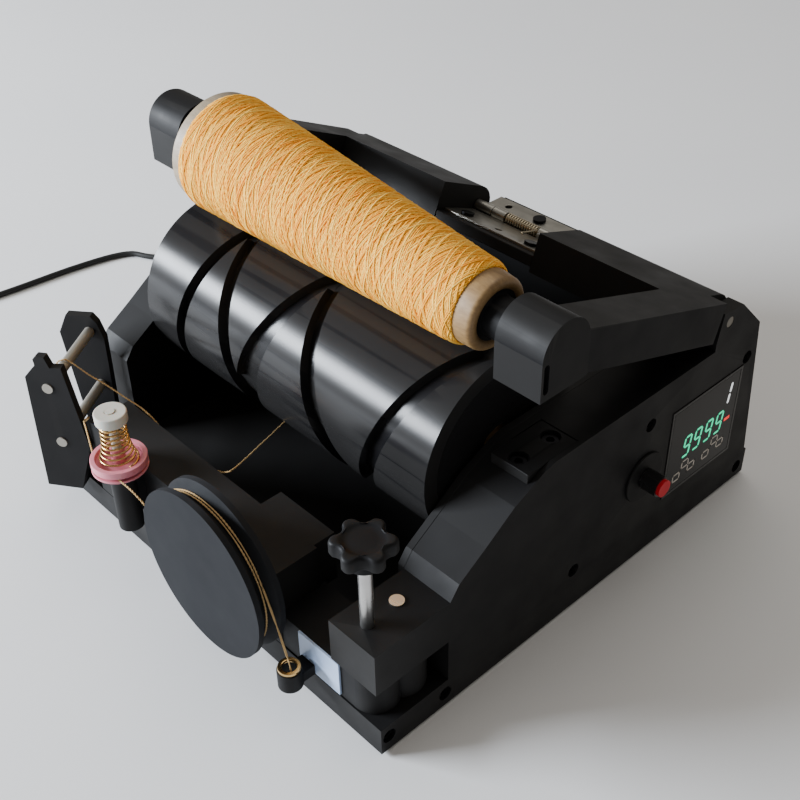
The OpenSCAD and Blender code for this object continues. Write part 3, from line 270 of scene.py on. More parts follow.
def make_looks():
    plastic("black_plastic", dark=(0.0045, 0.0045, 0.005), light=(0.0075, 0.0075, 0.0085), rough=(0.44, 0.58),
            Specular_IOR_Level=0.12)
    plastic("grey_plastic", dark=(0.006, 0.006, 0.0065), light=(0.011, 0.011, 0.012), rough=(0.46, 0.60),
            Specular_IOR_Level=0.12)
    plastic("wheel_grey", dark=(0.009, 0.010, 0.012), light=(0.013, 0.014, 0.016), rough=(0.62, 0.74),
            grain=900, depth=0.04 * MM, edge=(0.05, 0.05, 0.054), Specular_IOR_Level=0.10)
    plastic("drum_black", dark=(0.005, 0.005, 0.006), light=(0.008, 0.008, 0.009), rough=(0.215, 0.235),
            grain=1200, depth=0.006 * MM, centre=tuple(joints["drum_spin"]["pos_m"]), Specular_IOR_Level=0.17)
    plastic("rubber_black", dark=(0.008, 0.008, 0.008), light=(0.014, 0.014, 0.014), rough=(0.55, 0.7),
            grain=2500, Specular_IOR_Level=0.3)
    plastic("gloss_black", dark=(0.004, 0.004, 0.005), light=(0.007, 0.007, 0.008), rough=(0.20, 0.30),
            grain=1500, depth=0.006 * MM, Specular_IOR_Level=0.35)
    plastic("glass_dark", dark=(0.0025, 0.0025, 0.003), light=(0.004, 0.004, 0.005), rough=(0.16, 0.24),
            grain=600, depth=0.002 * MM, edge=(0.006, 0.006, 0.007), Specular_IOR_Level=0.25)
    plastic("red_plastic", dark=(0.46, 0.002, 0.010), light=(0.56, 0.004, 0.016), rough=(0.30, 0.40),
            grain=900, depth=0.01 * MM, edge=(0.60, 0.02, 0.03), Specular_IOR_Level=0.2)
    plastic("white_nylon", dark=(0.48, 0.47, 0.41), light=(0.58, 0.57, 0.51), rough=(0.34, 0.46),
            grain=1400, edge=(0.78, 0.77, 0.72), Subsurface_Weight=0.15, Subsurface_Scale=2 * MM)
    plastic("pink_plastic", dark=(0.54, 0.15, 0.20), light=(0.68, 0.23, 0.29), rough=(0.26, 0.38),
            grain=1400, depth=0.01 * MM, edge=(0.85, 0.38, 0.45), Subsurface_Weight=0.1,
            Subsurface_Scale=2 * MM)
    plastic("board_green", dark=(0.01, 0.10, 0.03), light=(0.02, 0.16, 0.05), rough=(0.3, 0.4))
    # Painted reflection: the strip's blue tones, edge tone included, stand for the bluish window reflecting
    # in the beam's bright flat bar.
    plastic("blue_strip", dark=(0.24, 0.36, 0.60), light=(0.36, 0.48, 0.72), rough=(0.30, 0.42),
            grain=900, depth=0.01 * MM, edge=(0.6, 0.7, 0.85))
    plastic("rod_grey", dark=(0.27, 0.25, 0.215), light=(0.35, 0.33, 0.285), rough=(0.38, 0.48),
            grain=900, depth=0.004 * MM, edge=(0.40, 0.38, 0.33), Metallic=0.55)
    plastic("pin_grey", dark=(0.17, 0.155, 0.13), light=(0.23, 0.21, 0.18), rough=(0.42, 0.54),
            grain=900, depth=0.004 * MM, edge=(0.30, 0.28, 0.24), Metallic=0.4)
    metal("steel", dark=(0.50, 0.49, 0.48), light=(0.62, 0.61, 0.59), rough=(0.27, 0.33))
    metal("nickel", dark=(0.34, 0.33, 0.30), light=(0.46, 0.45, 0.41), rough=(0.28, 0.38),
          stretch=(30, 700, 700))
    metal("barrel", dark=(0.44, 0.38, 0.27), light=(0.58, 0.51, 0.38), rough=(0.22, 0.32),
          stretch=(30, 700, 700))
    metal("dark_steel", dark=(0.010, 0.010, 0.011), light=(0.024, 0.024, 0.027), rough=(0.34, 0.46))
    metal("bronze", dark=(0.40, 0.25, 0.09), light=(0.55, 0.37, 0.15), rough=(0.25, 0.4))
    metal("spring_gold", dark=(0.46, 0.27, 0.09), light=(0.60, 0.38, 0.15), rough=(0.22, 0.30))
    metal("brass", dark=(0.62, 0.40, 0.16), light=(0.80, 0.56, 0.26), rough=(0.17, 0.26))
    # Painted shade: the cone's greyer beige stands for the shade on its left end; cone and rolled nose are
    # one cream paper.
    paper_look("paper", dark=(0.24, 0.19, 0.13), light=(0.34, 0.28, 0.20))
    paper_look("cream", dark=(0.17, 0.095, 0.034), light=(0.27, 0.165, 0.065))
    yarn_look("yarn", dark=(0.86, 0.30, 0.012), middle=(1.0, 0.50, 0.040), light=(1.0, 0.75, 0.18))
    yarn_look("thread", dark=(0.40, 0.25, 0.09), middle=(0.55, 0.37, 0.17), light=(0.68, 0.50, 0.28))
    glow_look("digit", (0.0, 0.86, 0.42), strength=1.0)
    glow_look("digit_red", (0.95, 0.03, 0.02), strength=1.2)
    glow_look("digit_white", (0.85, 0.88, 0.90), strength=1.0)
    plastic("key_line", dark=(0.46, 0.42, 0.37), light=(0.58, 0.53, 0.47), rough=(0.4, 0.5),
            edge=(0.58, 0.53, 0.47))


# Mesh tools; a shape is a list of vertices and a list of faces

def add_piece(name, shape, look, body, smooth=True):
    verts, faces = shape
    mesh = bpy.data.meshes.new(name)
    mesh.from_pydata([tuple(v) for v in verts], [], faces)
    mesh.polygons.foreach_set("use_smooth", [smooth] * len(mesh.polygons))
    mesh.materials.append(looks[look])
    piece = bpy.data.objects.new(name, mesh)
    scene.collection.objects.link(piece)
    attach(piece, body)
    return piece


def set_shades(piece, shades):
    """Tone of each vertex from 0 to 1, which the yarn's finish reads."""
    attribute = piece.data.attributes.new("shade", "FLOAT", "POINT")
    attribute.data.foreach_set("value", shades)


def grid_faces(rows, columns):
    """Quads between rows of vertices that each close on themselves."""
    faces = []
    for i in range(rows - 1):
        a, b = i * columns, (i + 1) * columns
        for k in range(columns):
            k2 = (k + 1) % columns
            faces.append((a + k, a + k2, b + k2, b + k))
    return faces


def capped_faces(rows, columns):
    """A grid with its first and last row filled."""
    first = tuple(reversed(range(columns)))
    last = tuple(range((rows - 1) * columns, rows * columns))
    return grid_faces(rows, columns) + [first, last]


def looped_faces(rows, columns):
    """A grid whose last row joins its first."""
    last = (rows - 1) * columns
    seam = [(last + k, last + (k + 1) % columns, (k + 1) % columns, k) for k in range(columns)]
    return grid_faces(rows, columns) + seam


def carried_frames(points, normal):
    """Each point of a line with two directions square to it, carried along without twist."""
    last = len(points) - 1
    for i, point in enumerate(points):
        ahead = (points[min(i + 1, last)] - points[max(i - 1, 0)]).normalized()
        normal = (normal - normal.dot(ahead) * ahead).normalized()
        yield point, normal, ahead.cross(normal)


def tube(points, radius, sides):
    """Closed round strand along points."""
    start = (points[1] - points[0]).normalized().orthogonal().normalized()
    verts = []
    for point, normal, side in carried_frames(points, start):
        for k in range(sides):
            angle = TURN * k / sides
            verts.append(point + radius * (math.cos(angle) * normal + math.sin(angle) * side))
    return verts, capped_faces(len(points), sides)


def join(shapes):
    """One shape from several."""
    verts, faces = [], []
    for more_verts, more_faces in shapes:
        faces += [tuple(i + len(verts) for i in face) for face in more_faces]
        verts += more_verts
    return verts, faces


def axis_place(origin, axis):
    """Frame whose X runs along an axis that isn't upright, and whose Z leans as far up as it can."""
    x = Vector(axis).normalized()
    y = Vector((0, 0, 1)).cross(x).normalized()
    place = Matrix((x, y, x.cross(y))).transposed().to_4x4()
    place.translation = Vector(origin)
    return place


def lathe(profile, place, steps, closed=False):
    """Turn (along, radius) points about the X axis of place; a closed profile makes a ring."""
    verts = []
    for along, radius in profile:
        for k in range(steps):
            angle = TURN * k / steps
            verts.append(place @ Vector((along, radius * math.cos(angle), radius * math.sin(angle))))
    make_faces = looped_faces if closed else capped_faces
    return verts, make_faces(len(profile), steps)


def prism(outline, place, thick):
    """Flat outline in the Y-Z plane of place, pushed along its X by thick."""
    count = len(outline)
    verts = [place @ Vector((x, u, v)) for x in (0, thick) for u, v in outline]
    faces = [tuple(reversed(range(count))), tuple(range(count, 2 * count))]
    faces += [(k, (k + 1) % count, count + (k + 1) % count, count + k) for k in range(count)]
    return verts, faces


def arc(middle_x, middle_r, radius, start, end, steps):
    """Points of a round corner in a profile; angles in degrees."""
    angles = [math.radians(start + (end - start) * i / steps) for i in range(steps + 1)]
    return [(middle_x + radius * math.cos(a), middle_r + radius * math.sin(a)) for a in angles]


def squared(value, power):
    """Sine or cosine swollen by a power below 1, which turns a circle into a rounded square."""
    return math.copysign(abs(value) ** power, value)


def spline(points, steps):
    """Smooth points through given ones."""
    points = [Vector(p) for p in points]
    last = len(points) - 1
    out = []
    for i in range(last):
        p0, p1, p2, p3 = points[max(i - 1, 0)], points[i], points[i + 1], points[min(i + 2, last)]
        for s in range(steps):
            t = s / steps
            out.append(0.5 * (2 * p1 + (p2 - p0) * t + (2 * p0 - 5 * p1 + 4 * p2 - p3) * t * t
                              + (3 * p1 - p0 - 3 * p2 + p3) * t * t * t))
    return out + [points[last]]


END_BAND = 0.1 * MM


def measure(node, place):
    """Ends along place's X axis, and the largest radius at each end, of a node round that axis."""
    back = place.inverted()
    local = [back @ v.co for v in nodes[node].data.vertices]
    low = min(p.x for p in local)
    high = max(p.x for p in local)
    low_r = max(math.hypot(p.y, p.z) for p in local if p.x < low + END_BAND)
    high_r = max(math.hypot(p.y, p.z) for p in local if p.x > high - END_BAND)
    return low, high, low_r, high_r


# Mains cord and its coil; the route repeats the solid's points in metres

CORD_D = 0.0034
LAID = 0.0018
CORD_WAY = [(-0.060, 0.130, 0.026), (-0.060, 0.136, 0.026), (-0.060, 0.150, 0.025), (-0.066, 0.172, 0.014),
            (-0.084, 0.186, 0.003), (-0.112, 0.182, LAID), (-0.160, 0.140, LAID), (-0.210, 0.070, LAID),
            (-0.252, 0.032, LAID), (-0.270, 0.020, LAID), (-0.278, -0.010, LAID), (-0.283, -0.060, LAID),
            (-0.290, -0.098, LAID), (-0.304, -0.122, LAID), (-0.318, -0.128, LAID), (-0.326, -0.128, LAID)]
CORD_STEPS = 6
CORD_ROUNDNESS = 5
COIL_MIDDLE = Vector((-0.334, -0.100, LAID))
COIL_R = 0.028
COIL_IN = 3.25
COIL_CLIMB = 0.5
COIL_STEP = 0.0043
COIL_RINGS = 24


def coil_points():
    """The loops spiral in on the table, climb and spiral out again on top."""
    turns = 2 * COIL_IN + COIL_CLIMB
    points = []
    for i in range(int(COIL_RINGS * turns) + 1):
        t = i / COIL_RINGS
        radius = COIL_R - COIL_STEP * min(t, COIL_IN, turns - t)
        rise = COIL_STEP * max(0.0, min(1.0, (t - COIL_IN) / COIL_CLIMB))
        angle = -TURN / 4 - TURN * t
        points.append(COIL_MIDDLE + Vector((radius * math.cos(angle), radius * math.sin(angle), rise)))
    return points


def make_cord():
    plug_low, plug_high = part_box("cord_plug")
    end = Vector((plug_high.x, (plug_low.y + plug_high.y) / 2, (plug_low.z + plug_high.z) / 2))
    points = spline(CORD_WAY, CORD_STEPS) + coil_points() + [end]
    data = bpy.data.curves.new("power_lead", "CURVE")
    data.dimensions = "3D"
    line = data.splines.new("POLY")
    line.points.add(len(points) - 1)
    for spot, point in zip(line.points, points):
        spot.co = (*point, 1)
    data.bevel_depth = CORD_D / 2
    data.bevel_resolution = CORD_ROUNDNESS
    data.use_fill_caps = True
    data.materials.append(looks["rubber_black"])
    lead = bpy.data.objects.new("power_lead", data)
    scene.collection.objects.link(lead)
    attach(lead, "root")
    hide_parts("power_cord", "cord_coil")
    plug = make_plug(plug_low, plug_high, end)
    make_tie()


# Plug on the cord's end

PLUG_SQUARE = 0.55
PLUG_STEPS = 32
RELIEF = 12 * MM
RIBS = 4
RIB_FROM = 1.5 * MM
RIB_PITCH = 2.6 * MM
RIB_WIDE = 1.6 * MM
RIB_EDGE = 0.3 * MM
RIB_ROOT_R = 2.0 * MM
RIB_R = 3.7 * MM
RIB_STEPS = 24
PIN_OUT = 19 * MM
PIN_ROOT = 1 * MM
PIN_R = 2 * MM
PIN_ASIDE = 4 * MM
PIN_STEPS = 20


def plug_rib(place, at):
    end = at + RIB_WIDE
    profile = [(at, RIB_ROOT_R), (at + RIB_EDGE, RIB_R), (end - RIB_EDGE, RIB_R), (end, RIB_ROOT_R)]
    return lathe(profile, place, RIB_STEPS)


def plug_pin(place, root, aside):
    """Pin from its root in the plug to its rounded tip."""
    spot = place @ Matrix.Translation(Vector((root, aside, 0)))
    tip = PIN_ROOT + PIN_OUT
    profile = [(0, PIN_R), (tip - 1.6 * MM, PIN_R), (tip - 0.5 * MM, PIN_R * 0.8), (tip, PIN_R * 0.4)]
    return lathe(profile, spot, PIN_STEPS)


def make_plug(low, high, end):
    """Rounded two-pin plug with a ribbed strain relief; sections give distance and shares of its size."""
    place = axis_place(end, (-1, 0, 0))
    half_w = (high.y - low.y) / 2
    half_h = (high.z - low.z) / 2
    face = high.x - low.x - PIN_OUT
    sections = [(0.0, 0.30, 0.30), (RELIEF / 2, 0.34, 0.34), (RELIEF, 0.42, 0.5), (RELIEF + 2 * MM, 0.8, 0.8),
                (RELIEF + 5 * MM, 0.97, 0.97), (face - 6 * MM, 1.0, 1.0), (face - 1.2 * MM, 0.98, 0.98),
                (face, 0.90, 0.88)]
    verts = []
    for along, wide, tall in sections:
        for k in range(PLUG_STEPS):
            angle = TURN * k / PLUG_STEPS
            y = squared(math.cos(angle), PLUG_SQUARE) * half_w * wide
            z = squared(math.sin(angle), PLUG_SQUARE) * half_h * tall
            verts.append(place @ Vector((along, y, z)))
    shell = (verts, capped_faces(len(sections), PLUG_STEPS))
    ribs = [plug_rib(place, RIB_FROM + i * RIB_PITCH) for i in range(RIBS)]
    plug = add_piece("mains_plug", join([shell] + ribs), "rubber_black", "root")
    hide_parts("cord_plug")
    pins = [plug_pin(place, face - PIN_ROOT, aside) for aside in (-PIN_ASIDE, PIN_ASIDE)]
    pins_piece = add_piece("plug_pins", join(pins), "steel", "root")
    pins_piece.parent = plug
    pins_piece.matrix_parent_inverse = plug.matrix_world.inverted()
    return plug


# Tie on the coil

TIE_TURN = math.radians(20)
TIE_HALF_W = 2.2 * MM
TIE_THICK = 0.5 * MM
TIE_GAP = 0.4 * MM
TIE_SQUARE = 0.5
TIE_STEPS = 40
TIE_INNER_LOW = 0.32 * MM
TIE_OUTER_LOW = 0.1 * MM


def make_tie():
    """Flat band wrapped round the loops of the coil."""
    inner = COIL_R - COIL_STEP * COIL_IN - CORD_D / 2
    outer = COIL_R + CORD_D / 2
    r_mid = (inner + outer) / 2
    half_w = (outer - inner) / 2 + TIE_GAP
    z_mid = (COIL_STEP + CORD_D) / 2
    half_h = z_mid + TIE_GAP
    ring = []
    for k in range(TIE_STEPS):
        angle = TURN * k / TIE_STEPS
        u = squared(math.cos(angle), TIE_SQUARE) * half_w
        v = squared(math.sin(angle), TIE_SQUARE) * half_h
        ring.append((r_mid + u, max(v + z_mid, TIE_INNER_LOW)))
    out = Vector((math.cos(TIE_TURN), math.sin(TIE_TURN), 0))
    across = Vector((-out.y, out.x, 0)) * TIE_HALF_W
    base = Vector((COIL_MIDDLE.x, COIL_MIDDLE.y, 0))
    corners = ((-1, 0), (-1, TIE_THICK), (1, TIE_THICK), (1, 0))
    verts = []
    for edge, grow in corners:
        for r, z in ring:
            dr, dz = r - r_mid, z - z_mid
            far = math.hypot(dr, dz)
            rise = Vector((0, 0, max(z + dz / far * grow, TIE_OUTER_LOW)))
            verts.append(base + out * (r + dr / far * grow) + rise + across * edge)
    band = (verts, looped_faces(len(corners), TIE_STEPS))
    return add_piece("cord_tie", band, "rubber_black", "root")


# Yarn package on the paper cone: strands of both hands over a smooth bed

STRAND_D = 0.74 * MM
STRAND_DEPTH = 1.3 * MM
STRANDS = 46
STRAND_TURNS = 4.5
STRAND_STEPS = 40
STRAND_SIDES = 5
STRAND_INSET = 0.6 * STRAND_D
STRAND_SEED = 11
PHASE_JITTER = 0.25
LIFT_SHARE = (0.55, 1.0)
SWAY_MM = (0.1, 0.5)
SWAY_PHASE = 9
SHOULDER = 4.5 * MM
SHOULDER_POWER = 0.7
END_SINK = 0.5 * MM
BED_RISE = 1.2 * MM
BED_INSIDE = 0.8 * MM
BED_ROWS = 40
BED_STEPS = 72
BED_SHADE = 0.3


def cone_place():
    joint = joints["cone_spin"]
    return axis_place(joint["pos_m"], joint["axis"])


def make_yarn_package():
    place = cone_place()
    low, high, low_r, high_r = measure("yarn_core", place)
    slope = (high_r - low_r) / (high - low)

    def wound_r(x, lift):
        """Radius at x of what lies lift above the core, sinking at the package's two ends."""
        near = max(0.0, min(1.0, min(x - low, high - x) / SHOULDER))
        rise = math.sin(near * TURN / 4) ** SHOULDER_POWER
        return low_r + slope * (x - low) - END_SINK + (lift + END_SINK) * rise

    draw = random.Random(STRAND_SEED)
    parts, shades = [], []
    count = int(STRAND_TURNS * STRAND_STEPS)
    for hand in (1, -1):
        for k in range(STRANDS):
            phase = TURN * (k + draw.uniform(-PHASE_JITTER, PHASE_JITTER)) / STRANDS
            lift = draw.uniform(*LIFT_SHARE) * STRAND_DEPTH
            sway = draw.uniform(*SWAY_MM) * MM
            start = draw.uniform(0, TURN)
            points = []
            for i in range(count + 1):
                t = i / count
                drift = sway * math.sin(start + SWAY_PHASE * t) * math.sin(TURN / 2 * t)
                x = low + STRAND_INSET + (high - low - 2 * STRAND_INSET) * t + drift
                radius = wound_r(x, lift)
                angle = hand * TURN * STRAND_TURNS * t + phase
                points.append(place @ Vector((x, radius * math.cos(angle), radius * math.sin(angle))))
            strand = tube(points, STRAND_D / 2, STRAND_SIDES)
            parts.append(strand)
            shades += [draw.random()] * len(strand[0])
    rows = [low + (high - low) * i / BED_ROWS for i in range(BED_ROWS + 1)]
    profile = [(low, low_r - BED_INSIDE)]
    profile += [(x, wound_r(x, BED_RISE - END_SINK)) for x in rows]
    profile.append((high, high_r - BED_INSIDE))
    bed = lathe(profile, place, BED_STEPS, closed=True)
    parts.append(bed)
    shades += [BED_SHADE] * len(bed[0])
    package = add_piece("yarn_package", join(parts), "yarn", "cone")
    set_shades(package, shades)
    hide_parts("yarn_core", "yarn_winding")


# Paper cone with its rolled nose

CONE_WALL = 1.6 * MM
CONE_LIP = 0.5 * MM
CONE_ROWS = 12
CONE_STEPS = 96
NOSE_OVER = 6.5 * MM
NOSE_ROLL = 2.6 * MM
NOSE_SKIN = 0.25 * MM
NOSE_EDGE = 0.4 * MM


def make_paper_cone():
    place = cone_place()
    low, high, low_r, high_r = measure("cone_tube", place)
    slope = (high_r - low_r) / (high - low)

    def cone_r(x):
        return low_r + slope * (x - low)

    rows = [low + (high - low) * i / CONE_ROWS for i in range(1, CONE_ROWS + 1)]
    profile = [(low, low_r - CONE_WALL), (low, low_r - CONE_LIP)]
    profile += arc(low + CONE_LIP, low_r - CONE_LIP, CONE_LIP, start=180, end=90, steps=4)[1:]
    profile += [(x, cone_r(x)) for x in rows]
    profile.append((high, high_r - CONE_WALL))
    # The cone takes the greyer paper finish, which is painted shade; its nose takes the cream.
    cone = add_piece("paper_cone", lathe(profile, place, CONE_STEPS, closed=True), "paper", "cone")
    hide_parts("cone_tube")

    tip = measure("nose_ring", place)[1]
    start = tip - NOSE_OVER - NOSE_ROLL
    bend = tip - NOSE_ROLL
    edge_r = cone_r(bend) + NOSE_SKIN - NOSE_ROLL
    back_r = edge_r - NOSE_ROLL * 0.8
    profile = [(start, cone_r(start) + NOSE_SKIN * 0.2)]
    profile += [(x, cone_r(x) + NOSE_SKIN) for x in (start + NOSE_EDGE, bend)]
    profile += arc(bend, edge_r, NOSE_ROLL, start=90, end=-60, steps=14)[1:]
    profile += [(tip - NOSE_ROLL * 1.2, back_r), (start, back_r)]
    nose = add_piece("cone_nose", lathe(profile, place, CONE_STEPS, closed=True), "cream", "cone")
    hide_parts("nose_ring")


# Springs

SPRING_CURLS = 8
SPRING_LOW_R = 8.4 * MM
SPRING_TOP_R = 5.3 * MM
SPRING_FLARE = 3
SPRING_RINGS = 28
SPRING_WIRE_R = 0.5 * MM
SPRING_SIDES = 10


def make_tension_spring():
    low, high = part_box("tension_spring")
    post_low, post_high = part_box("tension_post")
    x, y = (post_low.x + post_high.x) / 2, (post_low.y + post_high.y) / 2
    tall = high.z - low.z
    count = SPRING_CURLS * SPRING_RINGS
    points = []
    for i in range(count + 1):
        t = i / count
        angle = TURN * SPRING_CURLS * t
        radius = SPRING_TOP_R + (SPRING_LOW_R - SPRING_TOP_R) * (1 - t) ** SPRING_FLARE
        height = low.z + SPRING_WIRE_R + (tall - 2 * SPRING_WIRE_R) * t
        points.append(Vector((x + radius * math.cos(angle), y + radius * math.sin(angle), height)))
    coil = tube(points, SPRING_WIRE_R, SPRING_SIDES)
    spring = add_piece("tension_coil", coil, "spring_gold", "beam")
    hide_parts("tension_spring")
    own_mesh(spring)


HINGE_CURLS = 13
HINGE_RINGS = 24
HINGE_WIRE_R = 0.45 * MM
HINGE_SIDES = 8
HINGE_LEAF_OFF = 1.8 * MM
HINGE_LEG = (2.2 * MM, 6 * MM, 10 * MM, 14 * MM)
HINGE_LEG_END = 14.4 * MM
HINGE_LEG_HOOK = 1.6 * MM


def make_hinge_coil():
    """Closed coil round the hinge pin, with one leg lying on the front leaf."""
    low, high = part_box("hinge_spring")
    pin_low, pin_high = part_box("hinge_pin")
    y, z = (pin_low.y + pin_high.y) / 2, (pin_low.z + pin_high.z) / 2
    wire = HINGE_WIRE_R
    radius = (high.y - low.y) / 2 - wire
    count = HINGE_CURLS * HINGE_RINGS
    points = []
    for i in range(count + 1):
        t = i / count
        angle = TURN * HINGE_CURLS * t
        x = low.x + wire + (high.x - low.x - 2 * wire) * t
        points.append(Vector((x, y + radius * math.cos(angle), z + radius * math.sin(angle))))
    coil = add_piece("hinge_coil", tube(points, wire, HINGE_SIDES), "barrel", "root")
    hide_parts("hinge_spring")

    leaf_low, leaf_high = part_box("hinge_front_leaf")
    slope = Vector((0, leaf_low.y - y, leaf_high.z - z)).normalized()
    over = slope.cross(Vector((-1, 0, 0)))
    start = Vector((high.x - wire, y, z)) + over * (wire * 1.2 - HINGE_LEAF_OFF)
    leg = [start + slope * far for far in HINGE_LEG]
    leg.append(start + slope * HINGE_LEG_END + Vector((HINGE_LEG_HOOK, 0, 0)))
    add_piece("hinge_leg", tube(leg, wire, HINGE_SIDES), "barrel", "arm")


# Yarn threaded along the feed beam; the points repeat the solid's route in millimetres, Y from the front edge

EYELET = (77.9, -9.9, 25.6)
EYELET_BELOW = 6
EYELET_ABOVE = 3
WHEEL = (34.5, -11.05, 48.5)
WRAP_R = 34.2
WRAP_FROM = 18
WRAP_TURN = 516
WRAP_STEPS = 18
WRAP_SIDE = 0.85
YARN_WAY = [(-2.4, -12.5, 51.6), (-6.4, -13.1, 54.2), (-11, -13.7, 56.9), (-16, -14.1, 58.7),
            (-21, -14.3, 59.1), (-27, -14.4, 59.1), (-33, -14.9, 59.1), (-39, -14.7, 59.1),
            (-45, -13.6, 59.1), (-52, -10.8, 58.6), (-60, -7.4, 57.8), (-67, -4.4, 57),
            (-72.6, -1.9, 56.4), (-75.4, 1.9, 54.6), (-81.2, 1.2, 48), (-86.3, -0.2, 41.1),
            (-88.9, -1.2, 39.6), (-92.1, -2.5, 42.6), (-93.8, -0.7, 58), (-95.6, 1, 73),
            (-93.4, 3.7, 76.5), (-91.5, 6.2, 74.9), (-84, 10, 70), (-76, 14.2, 65.6),
            (-68, 17.8, 61.2), (-61.5, 21, 57.4), (-56, 22.6, 54), (-49, 22.7, 51.6),
            (-38, 22.7, 51), (-26, 22.7, 51), (-14, 22.7, 51.2), (-6, 22.9, 52.6),
            (-1.6, 23.7, 54.7), (-0.4, 26, 55.4), (-4.8, 36, 53), (-9.9, 46.5, 50.5),
            (-14.9, 57, 48), (-20, 67.5, 45.6), (-25, 78, 43.1), (-27.8, 83.7, 41.5)]
YARN_STEPS = 10
YARN_D = 0.9 * MM
PLY_LAY = 3.2 * MM
PLY_SIDES = 6
PLY_SHADES = (0.35, 0.65)
PLY_START = Vector((0.3, 0.2, 1))


def yarn_route():
    """Up through the eyelet, once round the wheel and over it again, then along the listed points."""
    x, y, z = EYELET
    way = [(x, y, z - EYELET_BELOW), (x, y, z + EYELET_ABOVE)]
    for k in range(WRAP_STEPS + 1):
        t = k / WRAP_STEPS
        angle = math.radians(WRAP_FROM + WRAP_TURN * t)
        way.append((WHEEL[0] + WRAP_R * math.cos(angle), WHEEL[1] + WRAP_SIDE * (1 - 2 * t),
                    WHEEL[2] + WRAP_R * math.sin(angle)))
    return way + YARN_WAY


def make_yarn_run():
    """Two plies twisted round each other."""
    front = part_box("base_plate")[0].y
    points = spline([(x * MM, y * MM + front, z * MM) for x, y, z in yarn_route()], YARN_STEPS)
    travelled = [0.0]
    for a, b in zip(points, points[1:]):
        travelled.append(travelled[-1] + (b - a).length)
    ply_r = YARN_D / 4
    parts, shades = [], []
    for ply, shade in enumerate(PLY_SHADES):
        strand = []
        for far, (point, normal, side) in zip(travelled, carried_frames(points, PLY_START)):
            angle = TURN * (far / PLY_LAY + ply / 2)
            strand.append(point + ply_r * (math.cos(angle) * normal + math.sin(angle) * side))
        parts.append(tube(strand, ply_r, PLY_SIDES))
        shades += [shade] * len(parts[-1][0])
    run = add_piece("yarn_thread", join(parts), "thread", "beam")
    set_shades(run, shades)
    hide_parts("yarn_run")


# Star knob with six rounded lobes

KNOB_REACH = 12.3 * MM
KNOB_HUB_H = 5 * MM
KNOB_LOBES = 6
KNOB_TURN = math.radians(-13)
KNOB_WAVE = 0.125
KNOB_SQUARE = 0.7
KNOB_EDGE = 1.6 * MM
KNOB_EDGE_ROWS = 5
KNOB_STEPS = 144


def make_star_knob():
    """Round hub under a lobed grip with a rounded edge and a dished top."""
    low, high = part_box("star_knob")
    x, y = (low.x + high.x) / 2, (low.y + high.y) / 2
    angles = [TURN * k / KNOB_STEPS for k in range(KNOB_STEPS)]

    def row(height, radii):
        return [Vector((x + r * math.cos(a), y + r * math.sin(a), height)) for a, r in zip(angles, radii)]

    def disc(share, height):
        return row(height, [KNOB_REACH * share] * KNOB_STEPS)

    def star(inset, height):
        waves = [squared(math.cos(KNOB_LOBES * (a - KNOB_TURN)), KNOB_SQUARE) for a in angles]
        return row(height, [KNOB_REACH * (1 - KNOB_WAVE + KNOB_WAVE * wave) - inset for wave in waves])

    under = low.z + KNOB_HUB_H
    top = high.z - KNOB_EDGE
    rows = [disc(0.50, low.z), disc(0.55, low.z + 0.6 * MM), disc(0.55, under), star(1.2 * MM, under),
            star(0.4 * MM, under + 0.4 * MM), star(0, under + 1.2 * MM), star(0, top)]
    for i in range(1, KNOB_EDGE_ROWS + 1):
        a = TURN / 4 * i / KNOB_EDGE_ROWS
        rows.append(star(KNOB_EDGE * (1 - math.cos(a)), top + KNOB_EDGE * math.sin(a)))
    rows += [disc(0.66, high.z), disc(0.62, high.z - 0.5 * MM), disc(0.40, high.z - 0.3 * MM),
             disc(0.05, high.z - 0.2 * MM)]
    verts = [v for points in rows for v in points]
    shape = (verts, capped_faces(len(rows), KNOB_STEPS))
    knob = add_piece("star_grip", shape, "black_plastic", "lock")
    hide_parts("star_knob")


# Display: four slanted figures, one small figure, a dash and six key outlines, in shares of the panel's size

SEGMENTS = {"a": ((0, 1), (1, 1)), "b": ((1, 1), (1, 0.5)), "c": ((1, 0.5), (1, 0)), "d": ((0, 0), (1, 0)),
            "f": ((0, 1), (0, 0.5)), "g": ((0, 0.5), (1, 0.5))}
FIGURES = {"9": "abcdfg", "1": "bc"}
SLANT = 0.14
SEGMENT_CUT = 0.62
SEGMENT_TIP = 0.45
TRIM_THICK = 0.10 * MM
TRIM_SUNK = 0.05 * MM
DIGITS_LEFT = (0.205, 0.365, 0.535, 0.70)
DIGIT_FOOT = 0.355
DIGIT_SIZE = (0.092, 0.235)
DIGIT_STROKE = 0.024
MODE_AT = (0.80, 0.65)
MODE_SIZE = (0.06, 0.26)
MODE_STROKE = 0.03
DASH_LOW = (0.855, 0.430)
DASH_HIGH = (0.94, 0.466)
KEYS_AT = ((0.16, 0.13), (0.28, 0.24), (0.385, 0.15), (0.615, 0.15), (0.74, 0.26), (0.84, 0.17))
KEY_SIZE = (0.10, 0.085)
KEY_LINE = 0.8 * MM
KEY_THICK = 0.08 * MM


